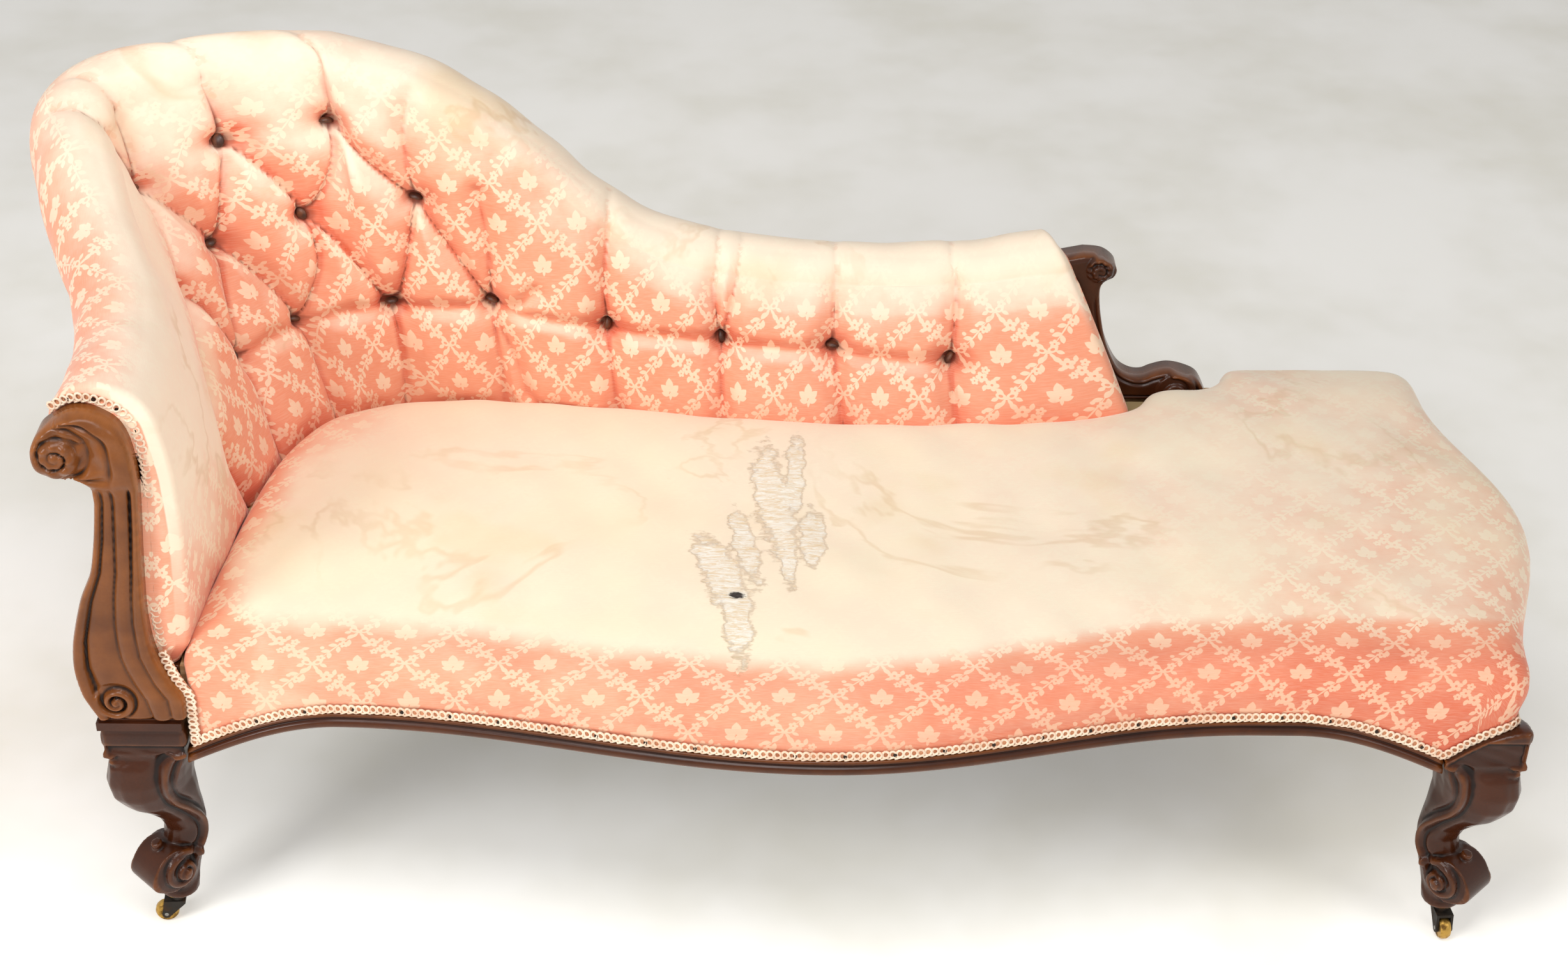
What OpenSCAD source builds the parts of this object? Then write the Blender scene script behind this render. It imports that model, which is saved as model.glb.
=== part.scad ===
// Fainting couch: a buttoned back that sweeps up round the head end, one scrolled arm,
// a bowed seat on two carved cabriole legs and two plain rear legs, on four swivel castors.
// Millimetres. X runs to the foot end, Y to the back, Z up, origin on the floor under the middle.

/* [Overall] */
// Distance between the left and the right castor pivots
leg_span = 1536; // [1300:1:1800]
// Distance from the middle of the couch forward to the front castor pivots
front_set = 285; // [240:1:330]
// Distance from the middle of the couch back to the rear castor pivots
rear_set = 300; // [270:1:330]
// Height of the top roll at the head above the floor
head_height = 902; // [820:1:1000]
// Height of the top of the seat rails above the floor
rail_top = 400; // [370:1:430]

/* [Seat frame] */
// Depth of a seat rail from top to underside
rail_depth = 69; // [60:1:72]
// Thickness of a seat rail
rail_t = 28; // [22:1:34]
// How far the front of the seat bows forward at its middle
front_bow = 78; // [30:1:100]
// How far the foot end bows out at its middle
foot_bow = 64; // [20:1:80]
// Height of the show-wood moulding along the lower edge
moulding_h = 19; // [12:1:26]
// Thickness of the show-wood moulding
moulding_t = 20; // [12:1:24]
// Side of the block at the top of a front leg
block_w = 94; // [84:1:100]
// Height of the top of a front leg block above the floor
block_top = 328; // [315:1:335]
// Thickness of the back and head end frame boards
board_t = 28; // [20:1:34]
// Width of the curved top rail and of the posts
board_w = 46; // [36:1:56]

/* [Upholstery] */
// Thickness of the stuffed border in front of the rails
border_t = 12; // [8:1:18]
// Height of the seat edge above the seat rail
seat_edge_h = 27; // [18:1:40]
// How far the middle of the seat is crowned above its edge
seat_crown = 26; // [8:1:45]
// Radius of the top roll at the arm, where it is largest
roll_r = 55; // [46:1:60]
// How far the top roll stands out behind the frame
roll_over = 30; // [20:1:38]
// Depth to which a button is drawn in
tuft_depth = 24; // [10:1:32]
// Radius of the hollow round a button
tuft_r = 42; // [25:1:55]
// Width of the gimp braid
gimp_w = 12; // [8:1:16]
// Thickness of the gimp braid
gimp_t = 2.4; // [1.5:0.1:4]
// Radius of a covered button
button_r = 9; // [7:0.5:12]

/* [Castors] */
// Radius of a castor wheel
wheel_r = 14; // [11:0.5:15]
// Width of a castor wheel
wheel_w = 13; // [9:0.5:16]
// Distance from the swivel pin to the wheel's axle
castor_trail = 15; // [10:0.5:18]
// Radius of the swivel pin
pin_r = 4; // [3:0.1:5]
// Radius of the axle pin
axle_r = 2.5; // [1.5:0.1:3]
// Height of the foot's underside above the floor
foot_z = 48; // [45:1:54]

/* [Hidden] */

// Clearance between a soft piece and its neighbour, and between glued wooden pieces that curve
seat_gap = 0.3;
// Radial clearance of a pin or socket in its hole
run_gap = 0.05;
// How far a cut runs past the face it cuts
over = 5;

// Shares of full height, width and depth that the half sizes below use
half = 1 / 2;
half_span = leg_span * half;
rail_z0 = rail_top - rail_depth;
block_in = half_span - block_w * half;
block_out = half_span + block_w * half;
block_front = -front_set - block_w * half;
// The show-wood block stands proud of the rail by its own set, which carries border and gimp
block_proud = 24;
front_face = block_front + block_proud;
foot_face = block_out - block_proud;
head_face = -block_out + gimp_t + border_t;
rear_proud = 30;
rear_face = rear_set + rear_proud;
seat_z = rail_top + seat_edge_h;
tuck_z = rail_top + seat_edge_h * half;

// Plan of the front rail's outer face: flat beside the legs and bowed in the middle
bow_left = 570;
bow_right = 490;
bow_middle = 10;
function swell(u) = abs(u) < 1 ? (1 + cos(180 * u)) / 2 : 0;
function front_y(x) = front_face
    - front_bow * swell((x - bow_middle) / (x < bow_middle ? bow_left : bow_right));
foot_bow_half = 290;
foot_bow_middle = -12;
function foot_x(y) = foot_face + foot_bow * swell((y - foot_bow_middle) / foot_bow_half);

// Elevation of the gimp's lower edge: level along the middle, and falling beside each leg
arch_run = 175;
arch_drop = 54;
gimp_z = rail_z0 + moulding_h - moulding_h * 0.2;
function arch(from_leg) = from_leg <= 0 ? arch_drop
    : (from_leg < arch_run ? arch_drop * (1 - sin(90 * from_leg / arch_run)) : 0);
function front_low(x) = gimp_z - arch(block_in - abs(x));
function foot_low(y) = gimp_z - arch(min(y - (block_front + block_w), rear_face - board_w - y));

// Stations along the back, from the arm facing round the head to the terminal.
// Columns, as shares: foot of the inner face (x, y), frame outer face at the top rail (x, y),
// top of the roll, sideways lean per unit of height, radius of the roll, stand-out of the roll,
// sideways slant per unit of depth.
// Half the leg span, front and rear face, head height, roll radius and roll_over are the wholes.
back_station_share = [
    [-0.941, -0.999, -1.005, -0.999,  0.848,  0.00, 1.00, 1.83, 0.00],
    [-0.934, -0.717, -1.028, -0.704,  0.842,  0.00, 1.00, 1.35, 0.00],
    [-0.922, -0.409, -1.055, -0.409,  0.836,  0.00, 0.98, 1.00, 0.00],
    [-0.909, -0.084, -1.090, -0.078,  0.846,  0.00, 0.96, 1.00, 0.00],
    [-0.891,  0.188, -1.143,  0.206,  0.876,  0.00, 0.95, 1.00, 0.00],
    [-0.865,  0.389, -1.186,  0.449,  0.922,  0.00, 0.94, 1.00, 0.00],
    [-0.823,  0.564, -1.203,  0.703,  0.960,  0.00, 0.93, 1.00, 0.00],
    [-0.781,  0.630, -1.130,  0.881,  0.984,  0.00, 0.92, 1.00, 0.00],
    [-0.729,  0.691, -0.930,  0.976,  0.998,  0.00, 0.92, 1.00, 0.00],
    [-0.638,  0.725, -0.638,  1.000,  0.998, -0.23, 0.91, 1.00, 0.00],
    [-0.547,  0.733, -0.547,  1.000,  0.970, -0.18, 0.89, 1.00, 0.00],
    [-0.456,  0.719, -0.456,  1.000,  0.914, -0.16, 0.86, 1.00, 0.00],
    [-0.378,  0.697, -0.378,  1.000,  0.843, -0.14, 0.82, 1.00, 0.00],
    [-0.300,  0.673, -0.300,  1.000,  0.768, -0.12, 0.77, 1.00, 0.00],
    [-0.208,  0.645, -0.208,  1.000,  0.717, -0.10, 0.73, 1.00, 0.00],
    [-0.078,  0.606, -0.078,  1.000,  0.690, -0.06, 0.70, 1.00, 0.00],
    [ 0.091,  0.585,  0.091,  1.000,  0.680, -0.02, 0.69, 1.00, 0.00],
    [ 0.260,  0.582,  0.260,  1.000,  0.684, -0.06, 0.69, 1.00, 0.00],
    [ 0.415,  0.622,  0.415,  1.000,  0.698, -0.20, 0.69, 1.00, 0.15],
    [ 0.540,  0.715,  0.540,  1.000,  0.706, -0.38, 0.69, 1.00, 0.30]];
last = len(back_station_share) - 1;
corner_end = 9;

// Smooth value through p1 and p2 at share u of the way, with neighbours p0 and p3
function flow(p0, p1, p2, p3, u) = p1 + ((p2 - p0) * u
    + (2 * p0 - 5 * p1 + 4 * p2 - p3) * u * u
    + (3 * p1 - p0 - 3 * p2 + p3) * u * u * u) / 2;
function along(list, t, n) = let (i = min(floor(t), n - 1), u = t - i)
    flow(list[max(i - 1, 0)], list[i], list[i + 1], list[min(i + 2, n)], u);
// From the head on, the frame face is one flat plane, so its y is the rear face itself
function deep(share) = share * (share < 0 ? -front_face : rear_face);
function station(t) = let (s = along(back_station_share, t, last))
    [s[0] * half_span, deep(s[1]),
     t >= corner_end ? s[0] * half_span : s[2] * half_span,
     t >= corner_end ? rear_face : min(deep(s[3]), rear_face),
     s[4] * head_height, s[5], s[6] * roll_r, s[7] * roll_over, s[8]];

// Height of the top rail's upper edge under the roll
roll_drop_share = 1.45;
function rail_line(s) = s[4] - s[6] * roll_drop_share;
function reach(s) = norm([s[2] - s[0], s[3] - s[1]]);
function heading(s) = [s[2] - s[0], s[3] - s[1]] / reach(s);
// Frame outer face at seat rail level, where the frame is a plain rectangle in plan
function foot_reach(s) = let (n = heading(s))
    min(n[0] < 0 ? (s[0] - head_face) / -n[0] : reach(s),
        n[1] > 0 ? (rear_face - s[1]) / n[1] : reach(s) * 2);
function frame_d(s, z) = let (top = rail_line(s), u = (z - rail_top) / (top - rail_top))
    z <= rail_top ? foot_reach(s) : foot_reach(s) + (reach(s) - foot_reach(s)) * min(u, 1);
// A point of the back at distance d outward from the inner foot line and at height z
function back_point(s, d, z) = let (n = heading(s))
    [s[0] + (n[0] - s[8]) * d + s[5] * (z - tuck_z), s[1] + n[1] * d, z];

// Buttons: station along the back, and height as a share of the head's height
button_place_share = [
    [5.73, 0.824], [7.35, 0.856], [8.48, 0.884],
    [4.81, 0.711], [6.49, 0.724], [7.82, 0.750], [9.65, 0.777],
    [5.33, 0.590], [7.17, 0.601], [8.75, 0.618], [10.43, 0.620],
    [12.65, 0.585], [14.51, 0.565], [15.67, 0.555], [16.83, 0.542]];

// Inner face of the back: leans out from the seat to the roll, with a slight belly
belly_share = 0.16;
function face_d(s, z) = let (top = s[4] - s[6], run = reach(s) + s[7] - 2 * s[6],
        u = (z - tuck_z) / (top - tuck_z))
    run * u - s[6] * belly_share * sin(180 * min(max(u, 0), 1));
function button_point(b) = let (s = station(b[0]), z = b[1] * head_height)
    back_point(s, face_d(s, z), z);
button_points = [for (b = button_place_share) button_point(b)];
function tuft(p) = tuft_depth * max([for (b = button_points)
    let (r = norm(p - b) / tuft_r) exp(-r * r)]);

// Triangles of a flat closed loop. It is laid on the plane where it is widest, and its corners
// are cut off one by one
function swept(loop, u, v) = let (n = len(loop)) [for (p = loop) 1]
    * [for (i = [0 : n - 1]) loop[i][u] * loop[(i + 1) % n][v] - loop[(i + 1) % n][u] * loop[i][v]];
function laid(loop) = let (ways = [[0, 1], [1, 2], [2, 0]],
        sizes = [for (w = ways) swept(loop, w[0], w[1])], widest = max([for (s = sizes) abs(s)]),
        k = [for (i = [0 : 2]) if (abs(sizes[i]) == widest) i][0],
        u = ways[k][sizes[k] > 0 ? 0 : 1], v = ways[k][sizes[k] > 0 ? 1 : 0])
    [for (p = loop) [p[u], p[v]]];
function turn(a, b, c) = (b[0] - a[0]) * (c[1] - a[1]) - (b[1] - a[1]) * (c[0] - a[0]);
function holds(a, b, c, p) = turn(a, b, p) > 0 && turn(b, c, p) > 0 && turn(c, a, p) > 0;
function is_ear(q, ids, a, b, c) = turn(a, b, c) > 0
    && len([for (i = ids) if (holds(a, b, c, q[i])) i]) == 0;
// Ears as [length of the cut, corner]; the shortest cut comes first
function ear(q, ids) = let (n = len(ids), list = [for (k = [0 : n - 1])
        let (a = q[ids[(k + n - 1) % n]], b = q[ids[k]], c = q[ids[(k + 1) % n]])
        if (is_ear(q, ids, a, b, c)) [norm(c - a), k]], least = min([for (e = list) e[0]]))
    [for (e = list) if (e[0] == least) e[1]][0];
function cut_ears(q, ids) = let (n = len(ids)) n < 4 ? [ids] : let (k = ear(q, ids))
    concat([[ids[(k + n - 1) % n], ids[k], ids[(k + 1) % n]]],
        cut_ears(q, [for (j = [1 : n - 1]) ids[(k + j) % n]]));
function cut_flat(loop) = cut_ears(laid(loop), [for (i = [0 : len(loop) - 1]) i]);

// Solid through a list of closed loops, each with the same number of points. In a thin sheet the loop's
// second half is the other face, and its diagonals lie along those of the first
module skin(loops, thin = false) {
    n = len(loops[0]);
    m = len(loops);
    polyhedron(points = [for (l = loops) each l], faces = concat(
        cut_flat(loops[0]),
        [for (i = [0 : m - 2]) for (j = [0 : n - 1])
            let (a = i * n + j, b = a + n, c = i * n + (j + 1) % n, d = c + n)
            each thin && j >= n * half ? [[a, b, d], [a, d, c]] : [[a, b, c], [c, b, d]]],
        [for (f = cut_flat(loops[m - 1])) [for (j = [2 : -1 : 0]) (m - 1) * n + f[j]]]));
}

// Everything is drawn round the legs and then moved so that the whole couch is centred
left_reach = min([for (i = [0 : last * 3]) let (s = station(i / 3))
    back_point(s, reach(s) + s[7], tuck_z)[0]]);
border_swell = 7;
right_reach = foot_face + foot_bow + border_t + border_swell;
front_reach = min(front_face - front_bow - moulding_t, front_face - front_bow - border_t - border_swell);
module placed() {
    translate([-(left_reach + right_reach) * half, -(front_reach + rear_face + roll_over) * half, 0])
        children();
}
module box(x0, x1, y0, y1, z0, z1) {
    translate([x0, y0, z0])
        cube([x1 - x0, y1 - y0, z1 - z0]);
}

// Strip that follows a rail: a plan band between two lists of y, cut to an elevation band
// between two lists of z, all at the places xs
module strip(xs, front_ys, back_ys, lows, highs) {
    n = len(xs) - 1;
    intersection() {
        linear_extrude(head_height)
            polygon(concat([for (i = [0 : n]) [xs[i], front_ys[i]]],
                [for (i = [n : -1 : 0]) [xs[i], back_ys[i]]]));
        translate([0, leg_span, 0])
            rotate([90, 0, 0])
                linear_extrude(leg_span * 2)
                    polygon(concat([for (i = [0 : n]) [xs[i], lows[i]]],
                        [for (i = [n : -1 : 0]) [xs[i], highs[i]]]));
    }
}
front_steps = 26;
foot_steps = 12;
front_xs = [for (i = [0 : front_steps]) block_in * (i / front_steps * 2 - 1)];
foot_y0 = block_front + block_w;
foot_y1 = rear_face - board_w;
foot_ys = [for (i = [0 : foot_steps]) foot_y0 + (foot_y1 - foot_y0) * i / foot_steps];

// Distances out from and in from the rail's outer face, and heights over the gimp's lower edge
module front_strip(out, inside, low, high) {
    strip(front_xs, [for (x = front_xs) front_y(x) - out], [for (x = front_xs) front_y(x) + inside],
        [for (x = front_xs) front_low(x) + low], [for (x = front_xs) front_low(x) + high]);
}
module foot_strip(out, inside, low, high) {
    rotate([0, 0, 90])
        strip(foot_ys, [for (y = foot_ys) -foot_x(y) - out], [for (y = foot_ys) -foot_x(y) + inside],
            [for (y = foot_ys) foot_low(y) + low], [for (y = foot_ys) foot_low(y) + high]);
}

joint_gap = 0.8;

// Seat rails: a level board, and on its outer half an apron that falls beside the legs
apron_share = 0.45;
apron_top_share = 0.85;
apron_foot = rail_z0 - gimp_z;
module front_rail() {
    placed()
        color("burlywood") {
            strip(front_xs, [for (x = front_xs) front_y(x)], [for (x = front_xs) front_y(x) + rail_t],
                [for (x = front_xs) rail_z0], [for (x = front_xs) rail_top]);
            front_strip(0, rail_t * apron_share, apron_foot, arch_drop * apron_top_share);
        }
}
module foot_end_rail() {
    placed()
        color("burlywood") {
            rotate([0, 0, 90])
                strip(foot_ys, [for (y = foot_ys) -foot_x(y)], [for (y = foot_ys) -foot_x(y) + rail_t],
                    [for (y = foot_ys) rail_z0], [for (y = foot_ys) rail_top]);
            foot_strip(0, rail_t * apron_share, apron_foot, arch_drop * apron_top_share);
        }
}
module rear_rail() {
    placed()
        color("burlywood")
            box(head_face + board_w, foot_face - board_w, rear_face - rail_t, rear_face,
                rail_z0, rail_top);
}
module head_end_rail() {
    placed()
        color("burlywood")
            box(head_face, head_face + rail_t, foot_y0, foot_y1, rail_z0, rail_top);
}
stretcher_w = 30;
stretcher_h = 44;
module cross_stretcher() {
    placed()
        color("tan")
            box(-stretcher_w * half, stretcher_w * half, front_y(0) + rail_t + stretcher_fit,
                rear_face - rail_t, rail_top - stretcher_h, rail_top);
}
// The front rail bows, so a square stretcher end stands this far off its inner face
stretcher_fit = 1;

// Corner braces, glued behind each leg and screwed into it
brace_l = 90;
brace_drop = 8;
brace_h = 40;
// Inner corner of each post, the way out to its two rails, and the step from post to rail face
brace_places = [
    [-block_in, foot_y0, -1, -1, block_w - block_proud - rail_t],
    [block_in, foot_y0, 1, -1, block_w - block_proud - rail_t],
    [head_face + board_w, foot_y1, -1, 1, board_w - rail_t],
    [foot_face - board_w, foot_y1, 1, 1, board_w - rail_t]];
function side_face(b, y) = b[2] < 0 ? head_face + rail_t : foot_x(y) - rail_t - joint_gap * 2;
function brace_tip(b) = [b[0] - b[2] * brace_l, b[1] + b[3] * b[4]];
function brace_foot(b) = let (y = b[1] - b[3] * brace_l) [side_face(b, y), y];
module corner_braces() {
    placed()
        color("tan")
            for (b = brace_places)
                translate([0, 0, rail_top - brace_drop - brace_h])
                    linear_extrude(brace_h)
                        polygon(concat([[b[0], b[1]], [b[0], b[1] + b[3] * b[4]], brace_tip(b)],
                            [for (k = [1 : -0.2 : -0.05]) let (y = b[1] - b[3] * brace_l * k)
                                [side_face(b, y), y]]));
}
screw_r = 2.5;
screw_head_r = 4.5;
screw_head_h = 3;
brace_screw_l = 60;
module screw(l) {
    cylinder(h = l, r = screw_r);
    translate([0, 0, -screw_head_h])
        cylinder(h = screw_head_h, r = screw_head_r);
}
module brace_screws() {
    placed()
        color("dimgray")
            for (b = brace_places)
                let (p = (brace_tip(b) + brace_foot(b)) * half, d = [b[0], b[1]] - p)
                    translate([p[0], p[1], rail_top - brace_drop - brace_h * half])
                        rotate([90, 0, atan2(d[1], d[0]) + 90])
                            screw(brace_screw_l);
}

// Show-wood moulding: a fat bead with a thinner lip above it that the gimp sits on
lip_share = 0.38;
lip_step = 2.5;
module front_moulding() {
    placed()
        color("saddlebrown") {
            front_strip(moulding_t, 0, -moulding_h, -moulding_h * lip_share);
            front_strip(moulding_t - lip_step, 0, -moulding_h * lip_share, 0);
        }
}
module foot_end_moulding() {
    placed()
        color("saddlebrown") {
            foot_strip(moulding_t, 0, -moulding_h, -moulding_h * lip_share);
            foot_strip(moulding_t - lip_step, 0, -moulding_h * lip_share, 0);
        }
}

// Front legs: a cabriole on the diagonal. Rows run down from the block: height as a share of the
// block's top, then reach outward, reach inward and half width as shares of the block, and how
// far the section has turned from square (0) to round (1)
cabriole_share = [
    [0.890, 0.700, 0.700, 0.700, 0.00],
    [0.850, 0.610, 0.620, 0.610, 0.20],
    [0.800, 0.640, 0.560, 0.560, 0.45],
    [0.740, 0.680, 0.500, 0.510, 0.65],
    [0.680, 0.640, 0.460, 0.450, 0.80],
    [0.620, 0.500, 0.460, 0.390, 1.00],
    [0.560, 0.290, 0.480, 0.330, 1.00],
    [0.500, 0.100, 0.510, 0.290, 1.00],
    [0.440, 0.010, 0.530, 0.270, 1.00],
    [0.385, 0.040, 0.520, 0.260, 1.00],
    [0.330, 0.110, 0.470, 0.260, 1.00],
    [0.270, 0.170, 0.400, 0.265, 1.00],
    [0.210, 0.200, 0.330, 0.270, 1.00],
    [0.146, 0.210, 0.290, 0.270, 1.00]];
cabriole_last = len(cabriole_share) - 1;
cabriole_sides = 16;
function lobe(v, p) = sign(v) * pow(abs(v), p);
function cabriole_ring(row, z) = let (a = (row[1] + row[2]) * half * block_w,
        c = (row[1] - row[2]) * half * block_w, b = row[3] * block_w, p = 2 - row[4])
    [for (i = [0 : cabriole_sides - 1]) let (q = 360 * i / cabriole_sides)
        [c + a * lobe(cos(q), p), b * lobe(sin(q), p), z]];
function from_foot(share) = foot_z + (block_top - foot_z)
    * (share - cabriole_share[cabriole_last][0]) / (1 - cabriole_share[cabriole_last][0]);
scroll_r = 30;
scroll_set = 8;
scroll_half_w = 26;
scroll_lift = 46;
// Volute on each side of the scroll: share of the scroll's radius, and how far it stands proud
eye_proud = 3;
eye_shares = [1.00, 0.66, 0.30];
nub_r = 7;
nub_l = 39;
nub_lean = 16;
socket_r = 6.5;
socket_depth = 34;
module cabriole() {
    difference() {
        union() {
            skin([for (i = [cabriole_last : -1 : 0])
                cabriole_ring(cabriole_share[i], from_foot(cabriole_share[i][0]))]);
            for (i = [0 : 2])
                translate([scroll_set, 0, foot_z + scroll_lift])
                    rotate([90, 0, 0])
                        cylinder(h = (scroll_half_w + eye_proud * i) * 2, r = scroll_r * eye_shares[i],
                            center = true);
            translate([scroll_set, 0, foot_z + scroll_lift])
                rotate([0, nub_lean, 0])
                    cylinder(h = nub_l, r = nub_r);
        }
        translate([0, 0, foot_z - over])
            cylinder(h = socket_depth + over, r = socket_r + run_gap);
    }
}
block_z0 = from_foot(cabriole_share[0][0]);
module front_left_leg() {
    placed()
        color("saddlebrown")
            union() {
                translate([-half_span, -front_set, 0])
                    rotate([0, 0, 225])
                        cabriole();
                box(-block_out, -block_in, block_front, foot_y0, block_z0 - over, block_top);
                box(head_face, -block_in, front_face + seat_gap, foot_y0, block_z0, rail_top);
            }
}
// The right block's top climbs from the moulding to the corner, in front and at the side
corner_rise = 48;
function corner_low(u) = gimp_z - arch_drop + corner_rise * sin(90 * min(max(u, 0), 1));
module corner_slab() {
    linear_extrude(block_w)
        polygon(concat([[block_w, block_z0 - over], [0, block_z0 - over]],
            [for (u = [0 : 0.1 : 1.01]) [u * block_w, corner_low(u) - seat_gap]]));
}
module corner_block() {
    intersection() {
        translate([block_in, foot_y0, 0])
            rotate([90, 0, 0])
                corner_slab();
        translate([block_in + block_w, foot_y0, 0])
            rotate([90, 0, -90])
                corner_slab();
        box(block_in, block_out, block_front, foot_y0, block_z0 - over, rail_top);
    }
}
post_chamfer = 12;
module chamfered_post(x0, x1, y0, y1, cx, cy, cut) {
    translate([0, 0, block_z0])
        linear_extrude(rail_top - block_z0)
            difference() {
                translate([x0, y0])
                    square([x1 - x0, y1 - y0]);
                translate([cx, cy])
                    rotate(45)
                        square(cut * sqrt(2), center = true);
            }
}
module front_right_leg() {
    placed()
        color("saddlebrown")
            union() {
                translate([half_span, -front_set, 0])
                    rotate([0, 0, -45])
                        cabriole();
                corner_block();
                chamfered_post(block_in, foot_face - seat_gap, front_face + seat_gap, foot_y0,
                    foot_face, front_face, post_chamfer);
            }
}

// Rear legs: plain square legs that sweep back a little between rail and castor
rear_sweep_share = [[1.00, 0.00], [0.80, 0.00], [0.62, -0.14], [0.44, -0.20], [0.28, -0.12], [0.146, 0.00]];
sweep_last = len(rear_sweep_share) - 1;
rear_leg_w = 32;
rear_corner_cut = 2;
rear_inset = board_w * half;
module rear_leg(x) {
    translate([x, rear_set, 0])
        difference() {
            translate([-rear_leg_w * half, 0, 0])
                rotate([90, 0, 90])
                    linear_extrude(rear_leg_w)
                        polygon(concat(
                            [for (r = rear_sweep_share) [(r[1] - half) * rear_leg_w, from_foot(r[0])]],
                            [for (i = [sweep_last : -1 : 0]) let (r = rear_sweep_share[i])
                                [(r[1] + half) * rear_leg_w, from_foot(r[0])]]));
            translate([0, 0, foot_z - over])
                cylinder(h = socket_depth + over, r = socket_r + run_gap);
        }
}
module rear_left_leg() {
    placed()
        color("saddlebrown")
            union() {
                rear_leg(head_face + rear_inset);
                chamfered_post(head_face, head_face + board_w, foot_y1, rear_face,
                    head_face, rear_face, rear_corner_cut);
            }
}
module rear_right_leg() {
    placed()
        color("saddlebrown")
            union() {
                rear_leg(foot_face - rear_inset);
                chamfered_post(foot_face - board_w, foot_face - seat_gap, foot_y1,
                    rear_face - seat_gap, foot_face, rear_face, post_chamfer);
            }
}

// Arm facing: an S-shaped board, fluted, with a scroll at its head and a small volute at its foot.
// Outline as shares of the facing's height, from the lower outer corner
plate_h = 15;
facing_z0 = block_top + plate_h;
facing_h = 403;
facing_t = block_proud - seat_gap;
facing_share = [
    [0.008, 0.000], [-0.030, 0.085], [-0.042, 0.176], [-0.032, 0.270], [0.005, 0.405],
    [0.045, 0.500], [0.068, 0.610], [0.084, 0.727], [0.080, 0.775], [0.055, 0.806],
    [0.017, 0.804], [-0.030, 0.820], [-0.057, 0.870], [-0.040, 0.935], [0.000, 0.972],
    [0.045, 0.998], [0.090, 1.000], [0.130, 0.986], [0.166, 0.960], [0.188, 0.913],
    [0.199, 0.844], [0.201, 0.762], [0.193, 0.655], [0.184, 0.551], [0.176, 0.442],
    [0.171, 0.330], [0.180, 0.218], [0.214, 0.125], [0.246, 0.070], [0.246, 0.000]];
facing_last = len(facing_share) - 1;
function facing_point(i) = facing_share[min(max(i, 0), facing_last)] * facing_h;
facing_fine = 3;
function facing_curve(from, to) = concat(
    [for (i = [from : to - 1]) for (k = [0 : facing_fine - 1])
        flow(facing_point(i - 1), facing_point(i), facing_point(i + 1), facing_point(i + 2),
            k / facing_fine)],
    [facing_point(to)]);
// Raised beads follow the outline, each between two shares of the way across the board
bead_t = 5;
facing_bead_shares = [[0.04, 0.22], [0.32, 0.62], [0.72, 0.96]];
bead_first = 2;
bead_steps = 6;
function across(i, u) = facing_point(bead_first + i) * (1 - u)
    + facing_point(facing_last - bead_first - i) * u;
head_scroll_share = [0.010, 0.888];
head_scroll_r = 31;
head_scroll_over = 18;
foot_volute_share = [0.055, 0.062];
foot_volute_r = 14;
module on_facing() {
    translate([-block_out, front_face - seat_gap, facing_z0])
        rotate([90, 0, 0])
            children();
}
module arm_facing() {
    placed()
        color("saddlebrown")
            on_facing() {
                linear_extrude(facing_t)
                    polygon(facing_curve(0, facing_last));
                for (b = facing_bead_shares)
                    linear_extrude(facing_t + bead_t)
                        polygon(concat([for (i = [0 : bead_steps]) across(i, b[0])],
                            [for (i = [bead_steps : -1 : 0]) across(i, b[1])]));
                translate(head_scroll_share * facing_h)
                    cylinder(h = facing_t + head_scroll_over, r = head_scroll_r);
                translate(head_scroll_share * facing_h)
                    cylinder(h = facing_t + head_scroll_over + bead_t, r = head_scroll_r * half);
                translate(foot_volute_share * facing_h)
                    cylinder(h = facing_t + bead_t * 2, r = foot_volute_r);
            }
}
plate_lip = 4;
module facing_plate() {
    placed()
        color("saddlebrown") {
            box(-block_out - plate_lip * half, -block_in, block_front - plate_lip,
                front_face - seat_gap, block_top, facing_z0 - plate_lip);
            box(-block_out, -block_in, block_front, front_face - seat_gap,
                facing_z0 - plate_lip, facing_z0);
        }
}

// Terminal: a scrolled bracket that ends the low back. Its left edge follows the sloping end of
// the back; the rest is an outline as shares of its height, from the end of the back at rail level
end_s = station(last);
function end_x(z) = back_point(end_s, reach(end_s), z)[0];
terminal_h = 215;
terminal_t = 36;
terminal_share = [
    [-0.372, 0.963], [-0.209, 0.995], [-0.093, 0.981], [-0.014, 0.916],
    [-0.019, 0.856], [-0.074, 0.819], [-0.098, 0.772], [-0.093, 0.674],
    [-0.074, 0.563], [-0.042, 0.428], [0.005, 0.307], [0.065, 0.205],
    [0.140, 0.153], [0.214, 0.144], [0.279, 0.172], [0.372, 0.195],
    [0.474, 0.177], [0.567, 0.126], [0.633, 0.000]];
terminal_last = len(terminal_share) - 1;
function terminal_point(i) = terminal_share[min(max(i, 0), terminal_last)] * terminal_h;
top_scroll_share = [-0.112, 0.912];
top_scroll_r = 18;
low_scroll_share = [0.428, 0.070];
low_scroll_r = 27;
scroll_over = 8;
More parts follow.
